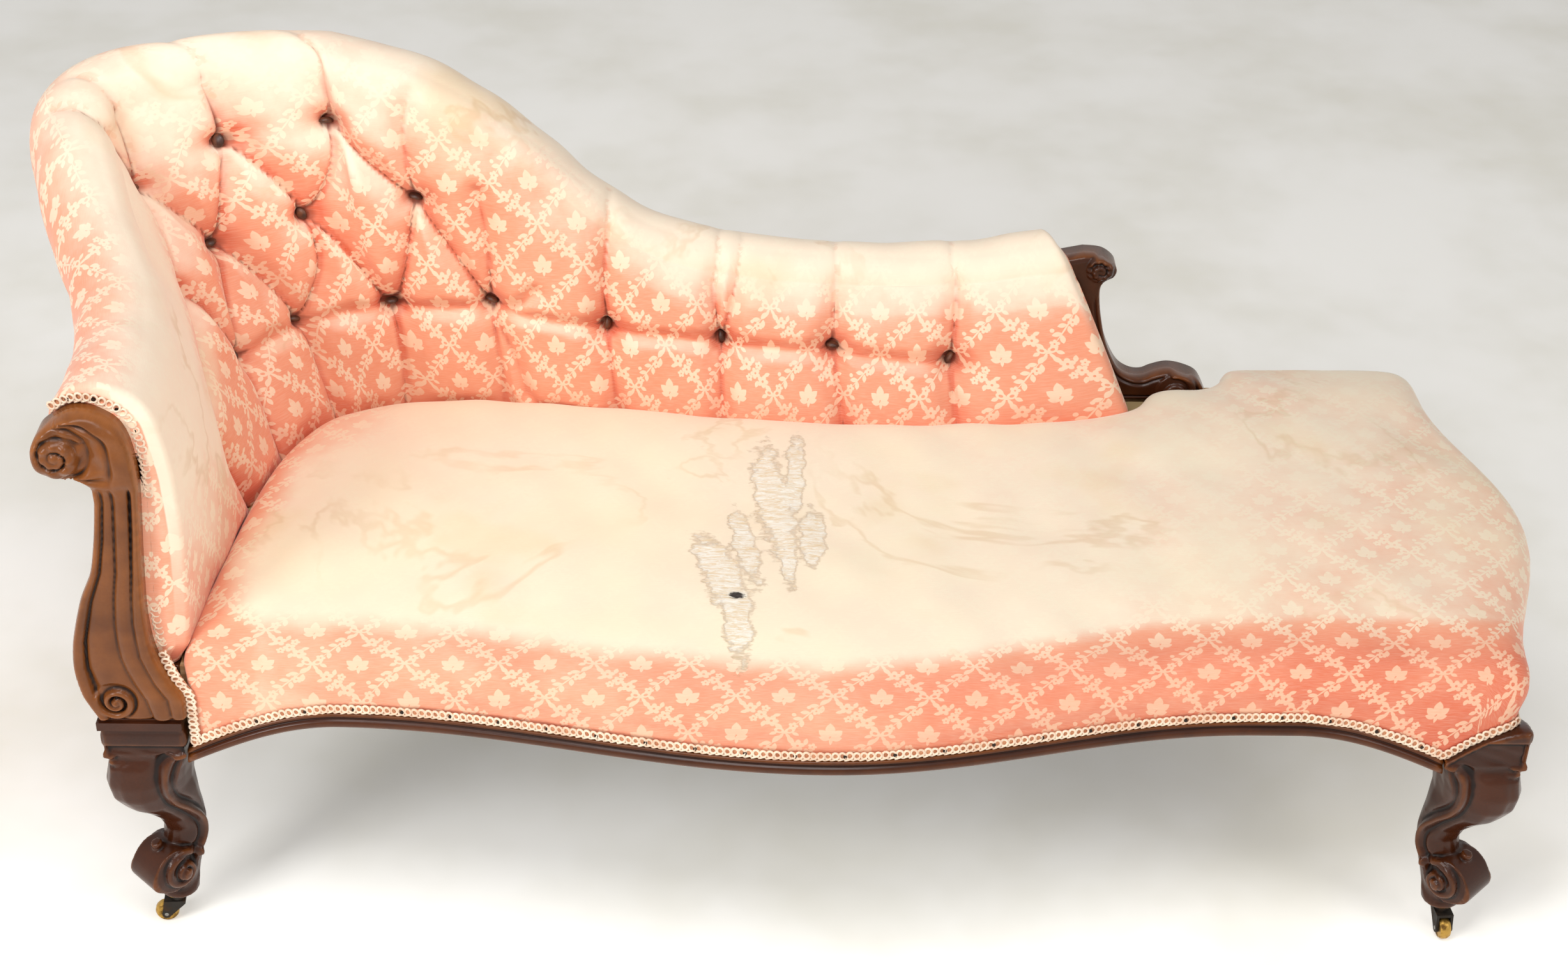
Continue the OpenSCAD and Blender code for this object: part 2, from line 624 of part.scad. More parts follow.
// Everything left of the sloping and slanting end of the back, and below the rail's top
module left_of_end() {
    face = [1, end_s[8], -end_s[5]];
    translate(back_point(end_s, 0, tuck_z))
        rotate([0, -asin(face[2] / norm(face)), atan2(face[1], face[0])])
            translate([seat_gap - head_height, -head_height * half, -head_height * half])
                cube(head_height);
    box(-leg_span, leg_span, 0, leg_span, 0, rail_top);
}
module terminal_round(share, r) {
    in_plane(rear_face - seat_gap + scroll_over * half, terminal_t + scroll_over)
        translate([end_x(rail_top) + share[0] * terminal_h, rail_top + share[1] * terminal_h])
            circle(r = r);
}
module in_plane(y, t) {
    translate([0, y, 0])
        rotate([90, 0, 0])
            linear_extrude(t)
                children();
}
module back_terminal() {
    placed()
        color("saddlebrown")
            difference() {
                union() {
                    in_plane(rear_face - seat_gap, terminal_t)
                        translate([end_x(rail_top), rail_top])
                            polygon(concat([[0, 0]],
                                [for (i = [0 : terminal_last - 1]) for (k = [0 : 2])
                                    flow(terminal_point(i - 1), terminal_point(i), terminal_point(i + 1),
                                        terminal_point(i + 2), k / 3)],
                                [terminal_point(terminal_last)]));
                    terminal_round(top_scroll_share, top_scroll_r);
                    terminal_round(low_scroll_share, low_scroll_r);
                }
                left_of_end();
            }
}

// Back frame: a sawn top rail, posts and the stay rails between them, all in one flat plane
rail_steps = 30;
rail_ts = [for (i = [0 : rail_steps]) corner_end + (last - corner_end) * i / rail_steps];
function rail_point(t, drop) = let (s = station(t), z = rail_line(s) - drop)
    [back_point(s, reach(s), z)[0], z];
module back_top_rail() {
    placed()
        color("burlywood")
            in_plane(rear_face, board_t)
                polygon(concat([for (t = rail_ts) rail_point(t, 0)],
                    [for (i = [rail_steps : -1 : 0]) rail_point(rail_ts[i], board_w)]));
}
module under_line(drop) {
    polygon(concat([for (t = rail_ts) rail_point(t, drop)],
        [[end_x(rail_top), rail_top], [station(corner_end)[0] - leg_span * half, rail_top]]));
}
module back_post(x) {
    placed()
        color("burlywood")
            in_plane(rear_face, board_t)
                intersection() {
                    translate([x, rail_top])
                        square([board_w, head_height]);
                    under_line(board_w);
                }
}
head_post_share = -0.640;
middle_post_share = -0.290;
module back_post_head() {
    back_post(head_post_share * half_span);
}
module back_post_middle() {
    back_post(middle_post_share * half_span);
}
module end_strip(x_in, x_out) {
    polygon([[end_x(rail_top) + x_in, rail_top], [end_x(rail_top) + x_out, rail_top],
        [end_x(head_height) + x_out, head_height], [end_x(head_height) + x_in, head_height]]);
}
module back_post_foot() {
    placed()
        color("burlywood")
            in_plane(rear_face, board_t)
                intersection() {
                    end_strip(-board_w, 0);
                    under_line(board_w);
                }
}
stay_lift = 14;
stay_h = 40;
module back_stay_rails() {
    x0 = head_post_share * half_span + board_w;
    x1 = middle_post_share * half_span;
    placed()
        color("burlywood")
            in_plane(rear_face, board_t) {
                translate([x0, rail_top + stay_lift])
                    square([x1 - x0, stay_h]);
                intersection() {
                    translate([x1 + board_w, rail_top + stay_lift])
                        square([leg_span, stay_h]);
                    end_strip(-leg_span, -board_w);
                }
            }
}

// Head end frame: a curved top rail on three posts that lean outward
function frame_ring(s, z0, z1, inset) = let (deep_in = board_t - inset)
    [back_point(s, frame_d(s, z0) - deep_in, z0), back_point(s, frame_d(s, z0) - inset, z0),
    back_point(s, frame_d(s, z1) - inset, z1), back_point(s, frame_d(s, z1) - deep_in, z1)];
// The cover twists as it follows the lean, so the curved rail and its posts stand in a little
corner_inset = 6;
head_rail_steps = 27;
head_rail_share = 0.999;
module head_top_rail() {
    placed()
        color("burlywood")
            skin([for (i = [0 : head_rail_steps])
                let (s = station(corner_end * head_rail_share * i / head_rail_steps))
                frame_ring(s, rail_line(s) - board_w, rail_line(s), corner_inset)]);
}
module head_post(t0, t1, inset) {
    placed()
        color("burlywood")
            skin([for (t = [t0, t1]) let (s = station(t))
                frame_ring(s, rail_top, rail_line(s) - board_w - joint_gap, inset)]);
}
arm_post_end = 0.45;
module arm_post() {
    head_post(0, arm_post_end, corner_inset);
}
module head_end_post() {
    head_post(3.2, 3.7, corner_inset);
}
module head_corner_post() {
    head_post(6.1, 6.5, corner_inset);
}

// Screws that hold the facing to the arm post, and the terminal to the foot post
screw_bite_share = 0.7;
facing_screw_share = [0.20, 0.48];
terminal_screw_share = [0.06, 0.68];
screw_clear = 8;
screw_z0 = rail_top + stay_lift + stay_h + screw_clear;
screw_z1 = rail_line(end_s) - board_w;
module show_wood_screws() {
    arm_s = station(arm_post_end);
    placed()
        color("dimgray") {
            for (u = facing_screw_share)
                let (z = facing_z0 + u * facing_h, s = station(0))
                    translate([back_point(s, frame_d(s, z) - board_t * half, z)[0], arm_s[1] + joint_gap, z])
                        rotate([90, 0, 0])
                            screw(arm_s[1] - front_face + facing_t * screw_bite_share);
            for (u = terminal_screw_share)
                let (z = screw_z0 + u * (screw_z1 - screw_z0))
                    translate([end_x(z) - board_w - joint_gap, rear_face - board_t * half, z])
                        rotate([0, 90, 0])
                            screw(board_w + terminal_t * half);
        }
}

// Webbing under the seat, and the springs that stand on it
web_w = 50;
web_t = 1.6;
web_lap = 6;
cross_web_share = [-0.60, -0.44, -0.28, -0.12, 0.12, 0.28, 0.44, 0.60];
long_web_share = [-0.50, -0.17, 0.17, 0.50];
module seat_webbing() {
    placed()
        color("darkkhaki") {
            for (u = cross_web_share)
                box(u * half_span - web_w * half, u * half_span + web_w * half,
                    front_y(u * half_span) + rail_t - web_lap, rear_face - rail_t + web_lap,
                    rail_z0 - web_t, rail_z0);
            for (u = long_web_share)
                box(head_face + rail_t - web_lap, foot_x(u * front_set) - rail_t + web_lap,
                    u * front_set - web_w * half, u * front_set + web_w * half,
                    rail_z0 - web_t * 2 - seat_gap, rail_z0 - web_t - seat_gap);
        }
}
spring_r = 34;
spring_waist_r = 21;
wire_r = 2;
spring_turns = 4;
turn_steps = 8;
wire_sides = 5;
canvas_t = 1.5;
spring_x_share = [-0.60, -0.36, -0.12, 0.12, 0.36, 0.60];
spring_y_share = [-0.41, 0.43];
spring_z0 = rail_z0 + wire_r + seat_gap;
spring_z1 = rail_top - wire_r - seat_gap;
spring_steps = spring_turns * turn_steps;
function coil_ring(i) = let (u = i / spring_steps, q = 360 * spring_turns * u,
        r = spring_r - (spring_r - spring_waist_r) * sin(180 * u))
    [for (k = [0 : wire_sides - 1]) let (a = -360 * k / wire_sides)
        [(r + wire_r * cos(a)) * cos(q), (r + wire_r * cos(a)) * sin(q),
            spring_z0 + (spring_z1 - spring_z0) * u + wire_r * sin(a)]];
module seat_springs() {
    placed()
        color("dimgray")
            for (x = spring_x_share)
                for (y = spring_y_share)
                    translate([x * half_span, y * front_set, 0])
                        skin([for (i = [0 : spring_steps]) coil_ring(i)]);
}
module spring_canvas() {
    left = head_face + rail_t + seat_gap;
    rear = rear_face - rail_t - seat_gap;
    notch = terminal_front - joint_gap;
    notch_left = end_x(rail_top) - over;
    notch_right = end_x(rail_top) + terminal_h * wrap_share;
    placed()
        color("tan")
            translate([0, 0, rail_top])
                linear_extrude(canvas_t)
                    polygon(concat([for (x = front_xs) [x, front_y(x) + rail_t * half]],
                        [for (y = foot_ys) [foot_x(y) - rail_t * half, y]],
                        [[foot_face - rail_t * half, rear], [notch_right, rear], [notch_right, notch],
                        [notch_left, notch], [notch_left, rear], [left, rear], [left, foot_y0 + board_w]]));
}
back_web_share = [-0.530, -0.420, -0.200, -0.080, 0.040, 0.160, 0.280, 0.380];
module back_webbing() {
    placed()
        color("darkkhaki")
            in_plane(rear_face - board_t, web_t)
                for (u = back_web_share)
                    intersection() {
                        translate([u * half_span - web_w * half, rail_top + stay_lift])
                            square([web_w, head_height]);
                        under_line(board_w * half);
                    }
}

// Back upholstery: one stuffed form from the arm facing round the head to the terminal.
// Rows of its section fall on the buttons where there are any
stuffing_z0 = rail_top + canvas_t + seat_gap;
roll_angles = [-45, 0, 35, 70, 105, 140, 180];
face_shares = [0.92, 0.81, 0.70, 0.59, 0.48, 0.37, 0.26, 0.15, 0.06];
back_gap = board_t + web_t + seat_gap;
function roll_point(s, a, sink) = back_point(s, reach(s) + s[7] - s[6] + (s[6] - sink) * cos(a),
    s[4] - s[6] + (s[6] - sink) * sin(a));
function rolled(s, a) = let (p = roll_point(s, a, 0)) a > 120 ? roll_point(s, a, tuft(p)) : p;
function face_point(s, u) = let (z = tuck_z + (s[4] - s[6] - tuck_z) * u, p = back_point(s, face_d(s, z), z))
    back_point(s, face_d(s, z) + tuft(p), z);
near_row = 0.100;
function row_share(t, s, u) = let (hit = [for (b = button_place_share)
        let (v = (b[1] * head_height - tuck_z) / (s[4] - s[6] - tuck_z))
        if (abs(b[0] - t) < near_row && abs(v - u) <= near_row) v])
    len(hit) > 0 ? hit[0] : u;
function back_section(t) = let (s = station(t), line = rail_line(s)) concat(
    [back_point(s, 0, stuffing_z0),
    back_point(s, frame_d(s, stuffing_z0) - back_gap, stuffing_z0),
    back_point(s, frame_d(s, line) - back_gap, line + joint_gap),
    back_point(s, reach(s) + border_t * half, line + joint_gap)],
    [for (a = roll_angles) rolled(s, a)],
    [for (u = face_shares) face_point(s, row_share(t, s, u))],
    [back_point(s, 0, tuck_z)]);
back_steps = 57;
function on_button(t) = let (hit = [for (b = button_place_share)
        if (abs(b[0] - t) < last / back_steps * half) b[0]])
    len(hit) > 0 ? hit * [for (h = hit) 1] / len(hit) : t;
module back_upholstery() {
    placed()
        color("salmon")
            skin([for (i = [0 : back_steps]) back_section(on_button(last * i / back_steps))]);
}
button_h = 5;
shank_l = 14;
// Buttons face the room and look up a little
button_tip = 78;
// Profile as shares of the button's radius and height
button_share = [[0.80, 0.00], [1.00, 0.30], [0.80, 0.75], [0.40, 0.95], [0.00, 1.00]];
shank_share = 0.30;
module button() {
    rotate_extrude()
        polygon(concat([[0, -shank_l], [button_r * shank_share, -shank_l], [button_r * shank_share, 0]],
            [for (p = button_share) [p[0] * button_r, p[1] * button_h]]));
}
module buttons() {
    placed()
        color("saddlebrown")
            for (b = button_place_share)
                let (s = station(b[0]), n = heading(s), z = b[1] * head_height)
                    translate(back_point(s, face_d(s, z) + tuft_depth, z))
                        rotate([0, 0, atan2(-n[1], -n[0])])
                            rotate([0, button_tip, 0])
                                button();
}

// Seat upholstery: a crowned top with a border that hangs in front of the rails. Its outline runs
// along the front, round the corner, up the foot end and back along the inner foot of the back.
// Each place carries x, y, the border's thickness there, its lower edge and its swell.
corner_round = 20;
facing_clear = 6.5;
tuck_gap = 3.5;
edge_x = foot_face + border_t;
edge_y = front_face - border_t;
left_x = -block_in + facing_clear;
function border_low(x, y) = corner_low(min((x - block_in) / block_w, (foot_y0 - y) / block_w));
front_edge = [for (i = [0 : front_steps]) let (x = max(front_xs[i], left_x))
    [x, front_y(x) - border_t, border_t, front_low(x), border_swell * min(i / 3, 1)]];
corner_edge = concat(
    [for (i = [1 : 2]) let (x = block_in + (edge_x - corner_round - block_in) * i / 3)
        [x, edge_y, border_t, border_low(x, edge_y), border_swell]],
    [for (a = [-90 : 30 : 0]) let (x = edge_x - corner_round + corner_round * cos(a),
            y = edge_y + corner_round + corner_round * sin(a))
        [x, y, border_t, border_low(x, y), border_swell]],
    [for (i = [1 : 2]) let (y = edge_y + corner_round + (foot_y0 - edge_y - corner_round) * i / 3)
        [foot_x(y) + border_t, y, border_t, border_low(edge_x, y), border_swell]]);
foot_edge = [for (y = foot_ys) [foot_x(y) + border_t, y, border_t, foot_low(y), border_swell]];
rear_border = 16;
rear_round = 26;
wrap_share = 0.72;
rear_edge = concat(
    [for (a = [0 : 30 : 90]) [edge_x - rear_round + rear_round * cos(a),
        rear_face + rear_border - rear_round + rear_round * sin(a), border_t,
        a < 60 ? foot_low(foot_y1) : rail_z0, border_swell]],
    [for (u = [0.55, 0.10]) [end_x(rail_top) + terminal_h * wrap_share
        + (edge_x - end_x(rail_top) - terminal_h * wrap_share) * u, rear_face + rear_border,
        rear_border, rail_z0, 0]]);
terminal_front = rear_face - seat_gap - terminal_t - scroll_over * half;
// Round the terminal: shares of its height along, and of its thickness back from its front
tuck_share = [[0.715, 0.90], [0.700, 0.20], [0.560, -0.06], [0.400, -0.06], [0.230, -0.16],
    [0.150, -1.45]];
tuck_edge = concat([[end_x(rail_top) + terminal_h * wrap_share, rear_face + rear_border, 0, 0, 0]],
    [for (u = tuck_share) [end_x(rail_top) + terminal_h * u[0], terminal_front + terminal_t * u[1], 0, 0, 0]]);
back_edge = [for (i = [30 : -1 : 0]) let (p = back_point(station(last * i / 30), -tuck_gap, tuck_z))
    [p[0], p[1], 0, 0, 0]];
facing_corner = [[left_x, front_face - joint_gap, 0, 0, 0]];
seat_line = concat(front_edge, corner_edge, foot_edge, rear_edge, tuck_edge, back_edge, facing_corner);
seat_n = len(seat_line);
function side_way(i) = let (a = seat_line[(i + seat_n - 1) % seat_n], b = seat_line[(i + 1) % seat_n],
        d = [b[0] - a[0], b[1] - a[1]])
    [d[1], -d[0]] / norm(d);
spine_share = 0.61;
function toward_spine(p, k) = let (x = max(-spine_share, min(spine_share, p[0] / half_span)) * half_span)
    [x + (p[0] - x) * k, p[1] * k];
// Crown: how far out from the spine, and how much of the crown's height is reached there
crown_shares = [[0.985, 0.00], [0.955, 0.22], [0.88, 0.48], [0.76, 0.72], [0.60, 0.90], [0.42, 1.00]];
shoulder_drop = 10;
border_lift = 2;
tuck_step = 2.5;
function seat_ring(i) = let (p = seat_line[i], w = side_way(i), q = [p[0], p[1]], hung = p[2] > 0,
        inner = hung ? q - w * (p[2] - joint_gap) : q, shoulder = seat_z - shoulder_drop,
        low = p[3] + border_lift,
        zs = hung ? [low, low, low + gimp_w, (low + gimp_w + shoulder) * half]
            : [for (k = [1 : 4]) stuffing_z0 + tuck_step * k])
    [[inner[0], inner[1], stuffing_z0],
        [inner[0], inner[1], zs[0]],
        [q[0], q[1], zs[1]],
        [q[0], q[1], zs[2]],
        [q[0] + w[0] * p[4], q[1] + w[1] * p[4], zs[3]],
        [q[0] + w[0] * p[4] * half, q[1] + w[1] * p[4] * half, shoulder],
        for (c = crown_shares) let (r = toward_spine(q, c[0])) [r[0], r[1], seat_z + seat_crown * c[1]]];
module seat_upholstery() {
    rings = [for (i = [0 : seat_n - 1]) seat_ring(i)];
    placed()
        color("peachpuff")
            skin([for (k = [0 : len(rings[0]) - 1]) [for (i = [0 : seat_n - 1]) rings[i][k]]]);
}

// Outside covers and bottom cloth
cover_t = 2.5;
cover_z0 = rail_z0 + over;
cover_drop = 3;
module outside_back_cover() {
    left = rail_point(corner_end, cover_drop);
    right = end_x(rail_top) + terminal_h * terminal_share[terminal_last][0];
    placed()
        color("salmon")
            in_plane(rear_face + seat_gap + cover_t, cover_t)
                polygon(concat([for (t = rail_ts) rail_point(t, cover_drop)],
                    [[end_x(rail_top), rail_top - cover_drop], [right, rail_top - cover_drop],
                    [right, cover_z0],
                    [left[0] - station(corner_end)[5] * (left[1] - cover_z0), cover_z0]]));
}
head_cover_steps = 27;
// Foot of the cover: the place nearest the frame's square rear corner goes to that corner
corner_snap = 45;
function cover_foot(s, off, z) = let (p = back_point(s, frame_d(s, z) + off, z))
    norm([p[0] - head_face, p[1] - rear_face]) < corner_snap ? [head_face - off, rear_face + off, z]
    : rear_face - p[1] > corner_snap ? [head_face - off, p[1], z] : [p[0], rear_face + off, z];
module outside_head_cover() {
    out = seat_gap + cover_t;
    placed()
        color("salmon")
            skin([for (i = [0 : head_cover_steps])
                let (s = station(corner_end * head_rail_share * i / head_cover_steps))
                [cover_foot(s, seat_gap, cover_z0),
                    cover_foot(s, out, cover_z0),
                    cover_foot(s, out, rail_top),
                    back_point(s, frame_d(s, rail_line(s)) + out, rail_line(s) - cover_drop),
                    back_point(s, frame_d(s, rail_line(s)) + seat_gap, rail_line(s) - cover_drop),
                    cover_foot(s, seat_gap, rail_top)]], thin = true);
}
cloth_t = 1;
module bottom_cloth() {
    right = foot_face - rail_t - board_w;
    left = head_face + rail_t * half;
    front = front_face + rail_t + board_w;
    notch = head_face + board_w + joint_gap;
    placed()
        color("dimgray")
            translate([0, 0, rail_z0 - (web_t + seat_gap) * 2 - cloth_t])
                linear_extrude(cloth_t)
                    polygon(concat([for (x = front_xs) if (abs(x) < block_in - arch_run)
                            [x, front_y(x) + rail_t * half]],
                        [[block_in - arch_run, front], [right, front], [right, rear_face - rail_t],
                        [notch, rear_face - rail_t], [notch, foot_y1 - joint_gap],
                        [left, foot_y1 - joint_gap], [left, front], [arch_run - block_in, front]]));
}

// Gimp braid over the border's lower edge, and round the facing; tacks hold it
gimp_lift = 1;
gimp_off = 0.6;
front_gimp_end = len(front_edge) + 4;
foot_gimp_end = len(front_edge) + len(corner_edge) + len(foot_edge) - 1;
function ribbon_ring(i) = let (p = seat_line[i], w = side_way(i), q = [p[0], p[1]] + w * gimp_off,
        r = q + w * gimp_t, z0 = p[3] + gimp_lift, z1 = p[3] + gimp_w)
    [[q[0], q[1], z0], [q[0], q[1], z1], [r[0], r[1], z1], [r[0], r[1], z0]];
module ribbon(from, to) {
    placed()
        color("bisque")
            skin([for (i = [from : to]) ribbon_ring(i)]);
}
module front_gimp() {
    ribbon(1, front_gimp_end);
}
module foot_end_gimp() {
    ribbon(front_gimp_end + 1, foot_gimp_end);
}
facing_gimp_from = 14;
facing_gimp_to = 26;
facing_line = facing_curve(facing_gimp_from, facing_gimp_to);
facing_line_last = len(facing_line) - 1;
function beside_facing(i, d) = let (e = facing_line[min(i + 1, facing_line_last)]
        - facing_line[max(i - 1, 0)])
    facing_line[i] + [-e[1], e[0]] / norm(e) * d;
module facing_gimp() {
    placed()
        color("bisque")
            on_facing()
                linear_extrude(gimp_t)
                    polygon(concat([for (i = [0 : facing_line_last]) beside_facing(i, gimp_off)],
                        [for (i = [facing_line_last : -1 : 0]) beside_facing(i, gimp_off + gimp_w)]));
}
tack_r = 2.2;
tack_l = 9;
tack_head_share = 0.4;
module tack() {
    cylinder(h = tack_l, r = tack_r * tack_head_share);
    translate([0, 0, -tack_r * tack_head_share])
        cylinder(h = tack_r * tack_head_share, r = tack_r);
}
module tack_in_border(i) {
    a = seat_line[i];
    b = seat_line[i + 1];
    w = (side_way(i) + side_way(i + 1)) * half;
    translate([(a[0] + b[0]) * half + w[0] * (gimp_off + gimp_t),
            (a[1] + b[1]) * half + w[1] * (gimp_off + gimp_t), (a[3] + b[3] + gimp_w + gimp_lift) * half])
        rotate([0, 0, atan2(w[1], w[0])])
            rotate([0, -90, 0])
                tack();
}
module gimp_tacks() {
    placed()
        color("black") {
            for (i = [1 : len(front_edge) - 2])
                tack_in_border(i);
            for (i = [len(front_edge) + len(corner_edge) : foot_gimp_end - 1])
                tack_in_border(i);
            on_facing()
                for (i = [3 : 4 : facing_line_last - 1])
                    let (p = beside_facing(i, gimp_off + gimp_w * half))
                        translate([p[0], p[1], gimp_t])
                            rotate([180, 0, 0])
                                tack();
        }
}

// Castors: a plate and socket in the foot, a horn that swivels in it, an axle pin and a wheel
plate_r = 15;
plate_t = 3.5;
end_gap = 4;
cheek_t = 3;
wheel_gap = 0.8;
bridge_t = 4;
bridge_z = wheel_r * 2 + 2;
boss_r = 9;
plate_z = foot_z - plate_t;
// Cheek outline beside the axle, as shares of the axle's radius
eye_share = 2.2;
module castor_socket() {
    top = plate_t + socket_depth - end_gap;
    color("darkgoldenrod")
        translate([0, 0, plate_z])
            rotate_extrude()
                polygon([[pin_r + run_gap, 0], [plate_r, 0], [plate_r, plate_t], [socket_r, plate_t],
                    [socket_r, top], [pin_r + run_gap, top]]);
}
module castor_horn() {
    cheek_in = wheel_w * half + wheel_gap;
    cheek_x = boss_r + castor_trail * half;
    color("dimgray")
        difference() {
            union() {
                translate([0, 0, bridge_z])
                    cylinder(h = plate_z - seat_gap - bridge_z, r = boss_r);
                translate([0, 0, bridge_z])
                    cylinder(h = foot_z + socket_depth - end_gap * 3 - bridge_z, r = pin_r);
                translate([-boss_r, -cheek_in - cheek_t, bridge_z])
                    cube([boss_r + cheek_x, (cheek_in + cheek_t) * 2, bridge_t]);
                for (side = [-1, 1])
                    translate([0, side * (cheek_in + cheek_t * half) + cheek_t * half, 0])
                        rotate([90, 0, 0])
                            linear_extrude(cheek_t)
                                union() {
                                    polygon([[-boss_r, bridge_z + bridge_t], [-boss_r, bridge_z],
                                        [castor_trail - axle_r * 2, wheel_r - axle_r],
                                        [castor_trail + axle_r * 2, wheel_r],
                                        [cheek_x, bridge_z + bridge_t]]);
                                    translate([castor_trail, wheel_r])
                                        circle(r = axle_r * eye_share);
                                }
            }
            translate([castor_trail, 0, wheel_r])
                rotate([90, 0, 0])
                    cylinder(h = leg_span, r = axle_r, center = true);
        }
}
module castor_axle() {
    color("silver")
        translate([castor_trail, 0, wheel_r])
            rotate([90, 0, 0])
                cylinder(h = wheel_w + (wheel_gap + cheek_t) * 2, r = axle_r, center = true);
}
tread_drop = 1.2;
// Tread profile: how far below full radius, in drops, and how far across the wheel
tread_share = [[2, 0.00], [1, 0.12], [0, 0.30], [0, 0.70], [1, 0.88], [2, 1.00]];
module castor_wheel() {
    bore = axle_r + run_gap;
    color("darkgoldenrod")
        translate([castor_trail, 0, wheel_r])
            rotate([90, 0, 0])
                translate([0, 0, -wheel_w * half])
                    rotate_extrude()
                        polygon(concat([[bore, 0]],
                            [for (p = tread_share) [wheel_r - p[0] * tread_drop, p[1] * wheel_w]],
                            [[bore, wheel_w]]));
}
// Place of each swivel pin and the way its wheel trails
castor_places = [[-half_span, -front_set, 185], [half_span, -front_set, 275],
    [head_face + rear_inset, rear_set, 70], [foot_face - rear_inset, rear_set, 20]];
module at_castor(i) {
    placed()
        translate([castor_places[i][0], castor_places[i][1], 0])
            rotate([0, 0, castor_places[i][2]])
                children();
}
module castor_socket_front_left() {
    at_castor(0)
        castor_socket();
}
module castor_socket_front_right() {
    at_castor(1)
        castor_socket();
}
module castor_socket_rear_left() {
    at_castor(2)
        castor_socket();
}
module castor_socket_rear_right() {
    at_castor(3)
        castor_socket();
}
module castor_horn_front_left() {
    at_castor(0)
        castor_horn();
}
module castor_horn_front_right() {
    at_castor(1)
        castor_horn();
}
module castor_horn_rear_left() {
    at_castor(2)
        castor_horn();
}
module castor_horn_rear_right() {
    at_castor(3)
        castor_horn();
}
module castor_axle_front_left() {
    at_castor(0)
        castor_axle();
}
module castor_axle_front_right() {
    at_castor(1)
        castor_axle();
}
module castor_axle_rear_left() {
    at_castor(2)
        castor_axle();
}
module castor_axle_rear_right() {
    at_castor(3)
        castor_axle();
}
module castor_wheel_front_left() {
    at_castor(0)
        castor_wheel();
}
module castor_wheel_front_right() {
    at_castor(1)
        castor_wheel();
}
module castor_wheel_rear_left() {
    at_castor(2)
        castor_wheel();
}
module castor_wheel_rear_right() {
    at_castor(3)
        castor_wheel();
}

front_rail();
foot_end_rail();
rear_rail();
head_end_rail();
cross_stretcher();
corner_braces();
brace_screws();
front_moulding();
foot_end_moulding();
front_left_leg();
front_right_leg();
rear_left_leg();
rear_right_leg();
arm_facing();
facing_plate();
back_terminal();
show_wood_screws();
back_top_rail();
back_post_head();
back_post_middle();
back_post_foot();
back_stay_rails();
arm_post();
head_end_post();
head_corner_post();
head_top_rail();
seat_webbing();
seat_springs();
spring_canvas();
back_webbing();
seat_upholstery();
back_upholstery();
buttons();
outside_back_cover();
outside_head_cover();
bottom_cloth();
front_gimp();
foot_end_gimp();
facing_gimp();
gimp_tacks();
castor_socket_front_left();
castor_socket_front_right();
castor_socket_rear_left();
castor_socket_rear_right();
castor_horn_front_left();
castor_horn_front_right();
castor_horn_rear_left();
castor_horn_rear_right();
castor_axle_front_left();
castor_axle_front_right();
castor_axle_rear_left();
castor_axle_rear_right();
castor_wheel_front_left();
castor_wheel_front_right();
castor_wheel_rear_left();
castor_wheel_rear_right();
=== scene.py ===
import math
import bpy
import bmesh
import numpy as np
from mathutils import Matrix, Vector


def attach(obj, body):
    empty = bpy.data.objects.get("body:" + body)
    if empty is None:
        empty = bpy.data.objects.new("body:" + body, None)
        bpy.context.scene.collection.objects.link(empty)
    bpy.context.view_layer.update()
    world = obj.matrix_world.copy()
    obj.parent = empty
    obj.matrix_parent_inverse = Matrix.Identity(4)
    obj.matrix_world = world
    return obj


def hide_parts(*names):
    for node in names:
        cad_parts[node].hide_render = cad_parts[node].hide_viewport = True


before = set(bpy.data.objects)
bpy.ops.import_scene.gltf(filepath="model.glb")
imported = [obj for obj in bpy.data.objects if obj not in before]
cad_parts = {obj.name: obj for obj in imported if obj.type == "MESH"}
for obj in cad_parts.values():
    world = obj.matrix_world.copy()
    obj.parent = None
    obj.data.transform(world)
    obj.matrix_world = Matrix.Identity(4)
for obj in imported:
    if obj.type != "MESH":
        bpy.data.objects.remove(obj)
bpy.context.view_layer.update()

# The room: a wide pale studio floor, soft window-like lamps, and the camera,
# which stands a little left of the couch's middle and looks down on the seat.
photo_width_px, focal_length_px, sensor_width = 2455, 3974.2636, 36.0
camera_data = bpy.data.cameras.new("camera")
camera_data.sensor_width = sensor_width
camera_data.lens = focal_length_px / photo_width_px * sensor_width
camera = bpy.data.objects.new("camera", camera_data)
bpy.context.scene.collection.objects.link(camera)
camera_right = Vector((0.99984824, -0.00578813, 0.01643165))
camera_up = Vector((-0.0106363, 0.54418383, 0.83889858))
camera_back = Vector((-0.0137975, -0.83894604, 0.54403968))
turn = Matrix((camera_right, camera_up, camera_back)).transposed().to_4x4()
camera.matrix_world = Matrix.Translation((-0.0416, -2.5745, 2.1388)) @ turn
bpy.context.scene.camera = camera


def link(piece):
    bpy.context.scene.collection.objects.link(piece)
    return piece


def mesh_piece(name, points, faces, smooth=True):
    data = bpy.data.meshes.new(name)
    data.from_pydata([tuple(map(float, p)) for p in points], [], [tuple(map(int, f)) for f in faces])
    data.update()
    if smooth:
        data.polygons.foreach_set("use_smooth", [True] * len(data.polygons))
    return link(bpy.data.objects.new(name, data))


def put(tree, kind, inputs=(), **settings):
    """A new node, with each input set to a value or joined to a socket."""
    made = tree.nodes.new(kind)
    for key, value in settings.items():
        setattr(made, key, value)
    for key, value in dict(inputs).items():
        if isinstance(value, bpy.types.NodeSocket):
            tree.links.new(value, made.inputs[key])
        else:
            made.inputs[key].default_value = value
    return made


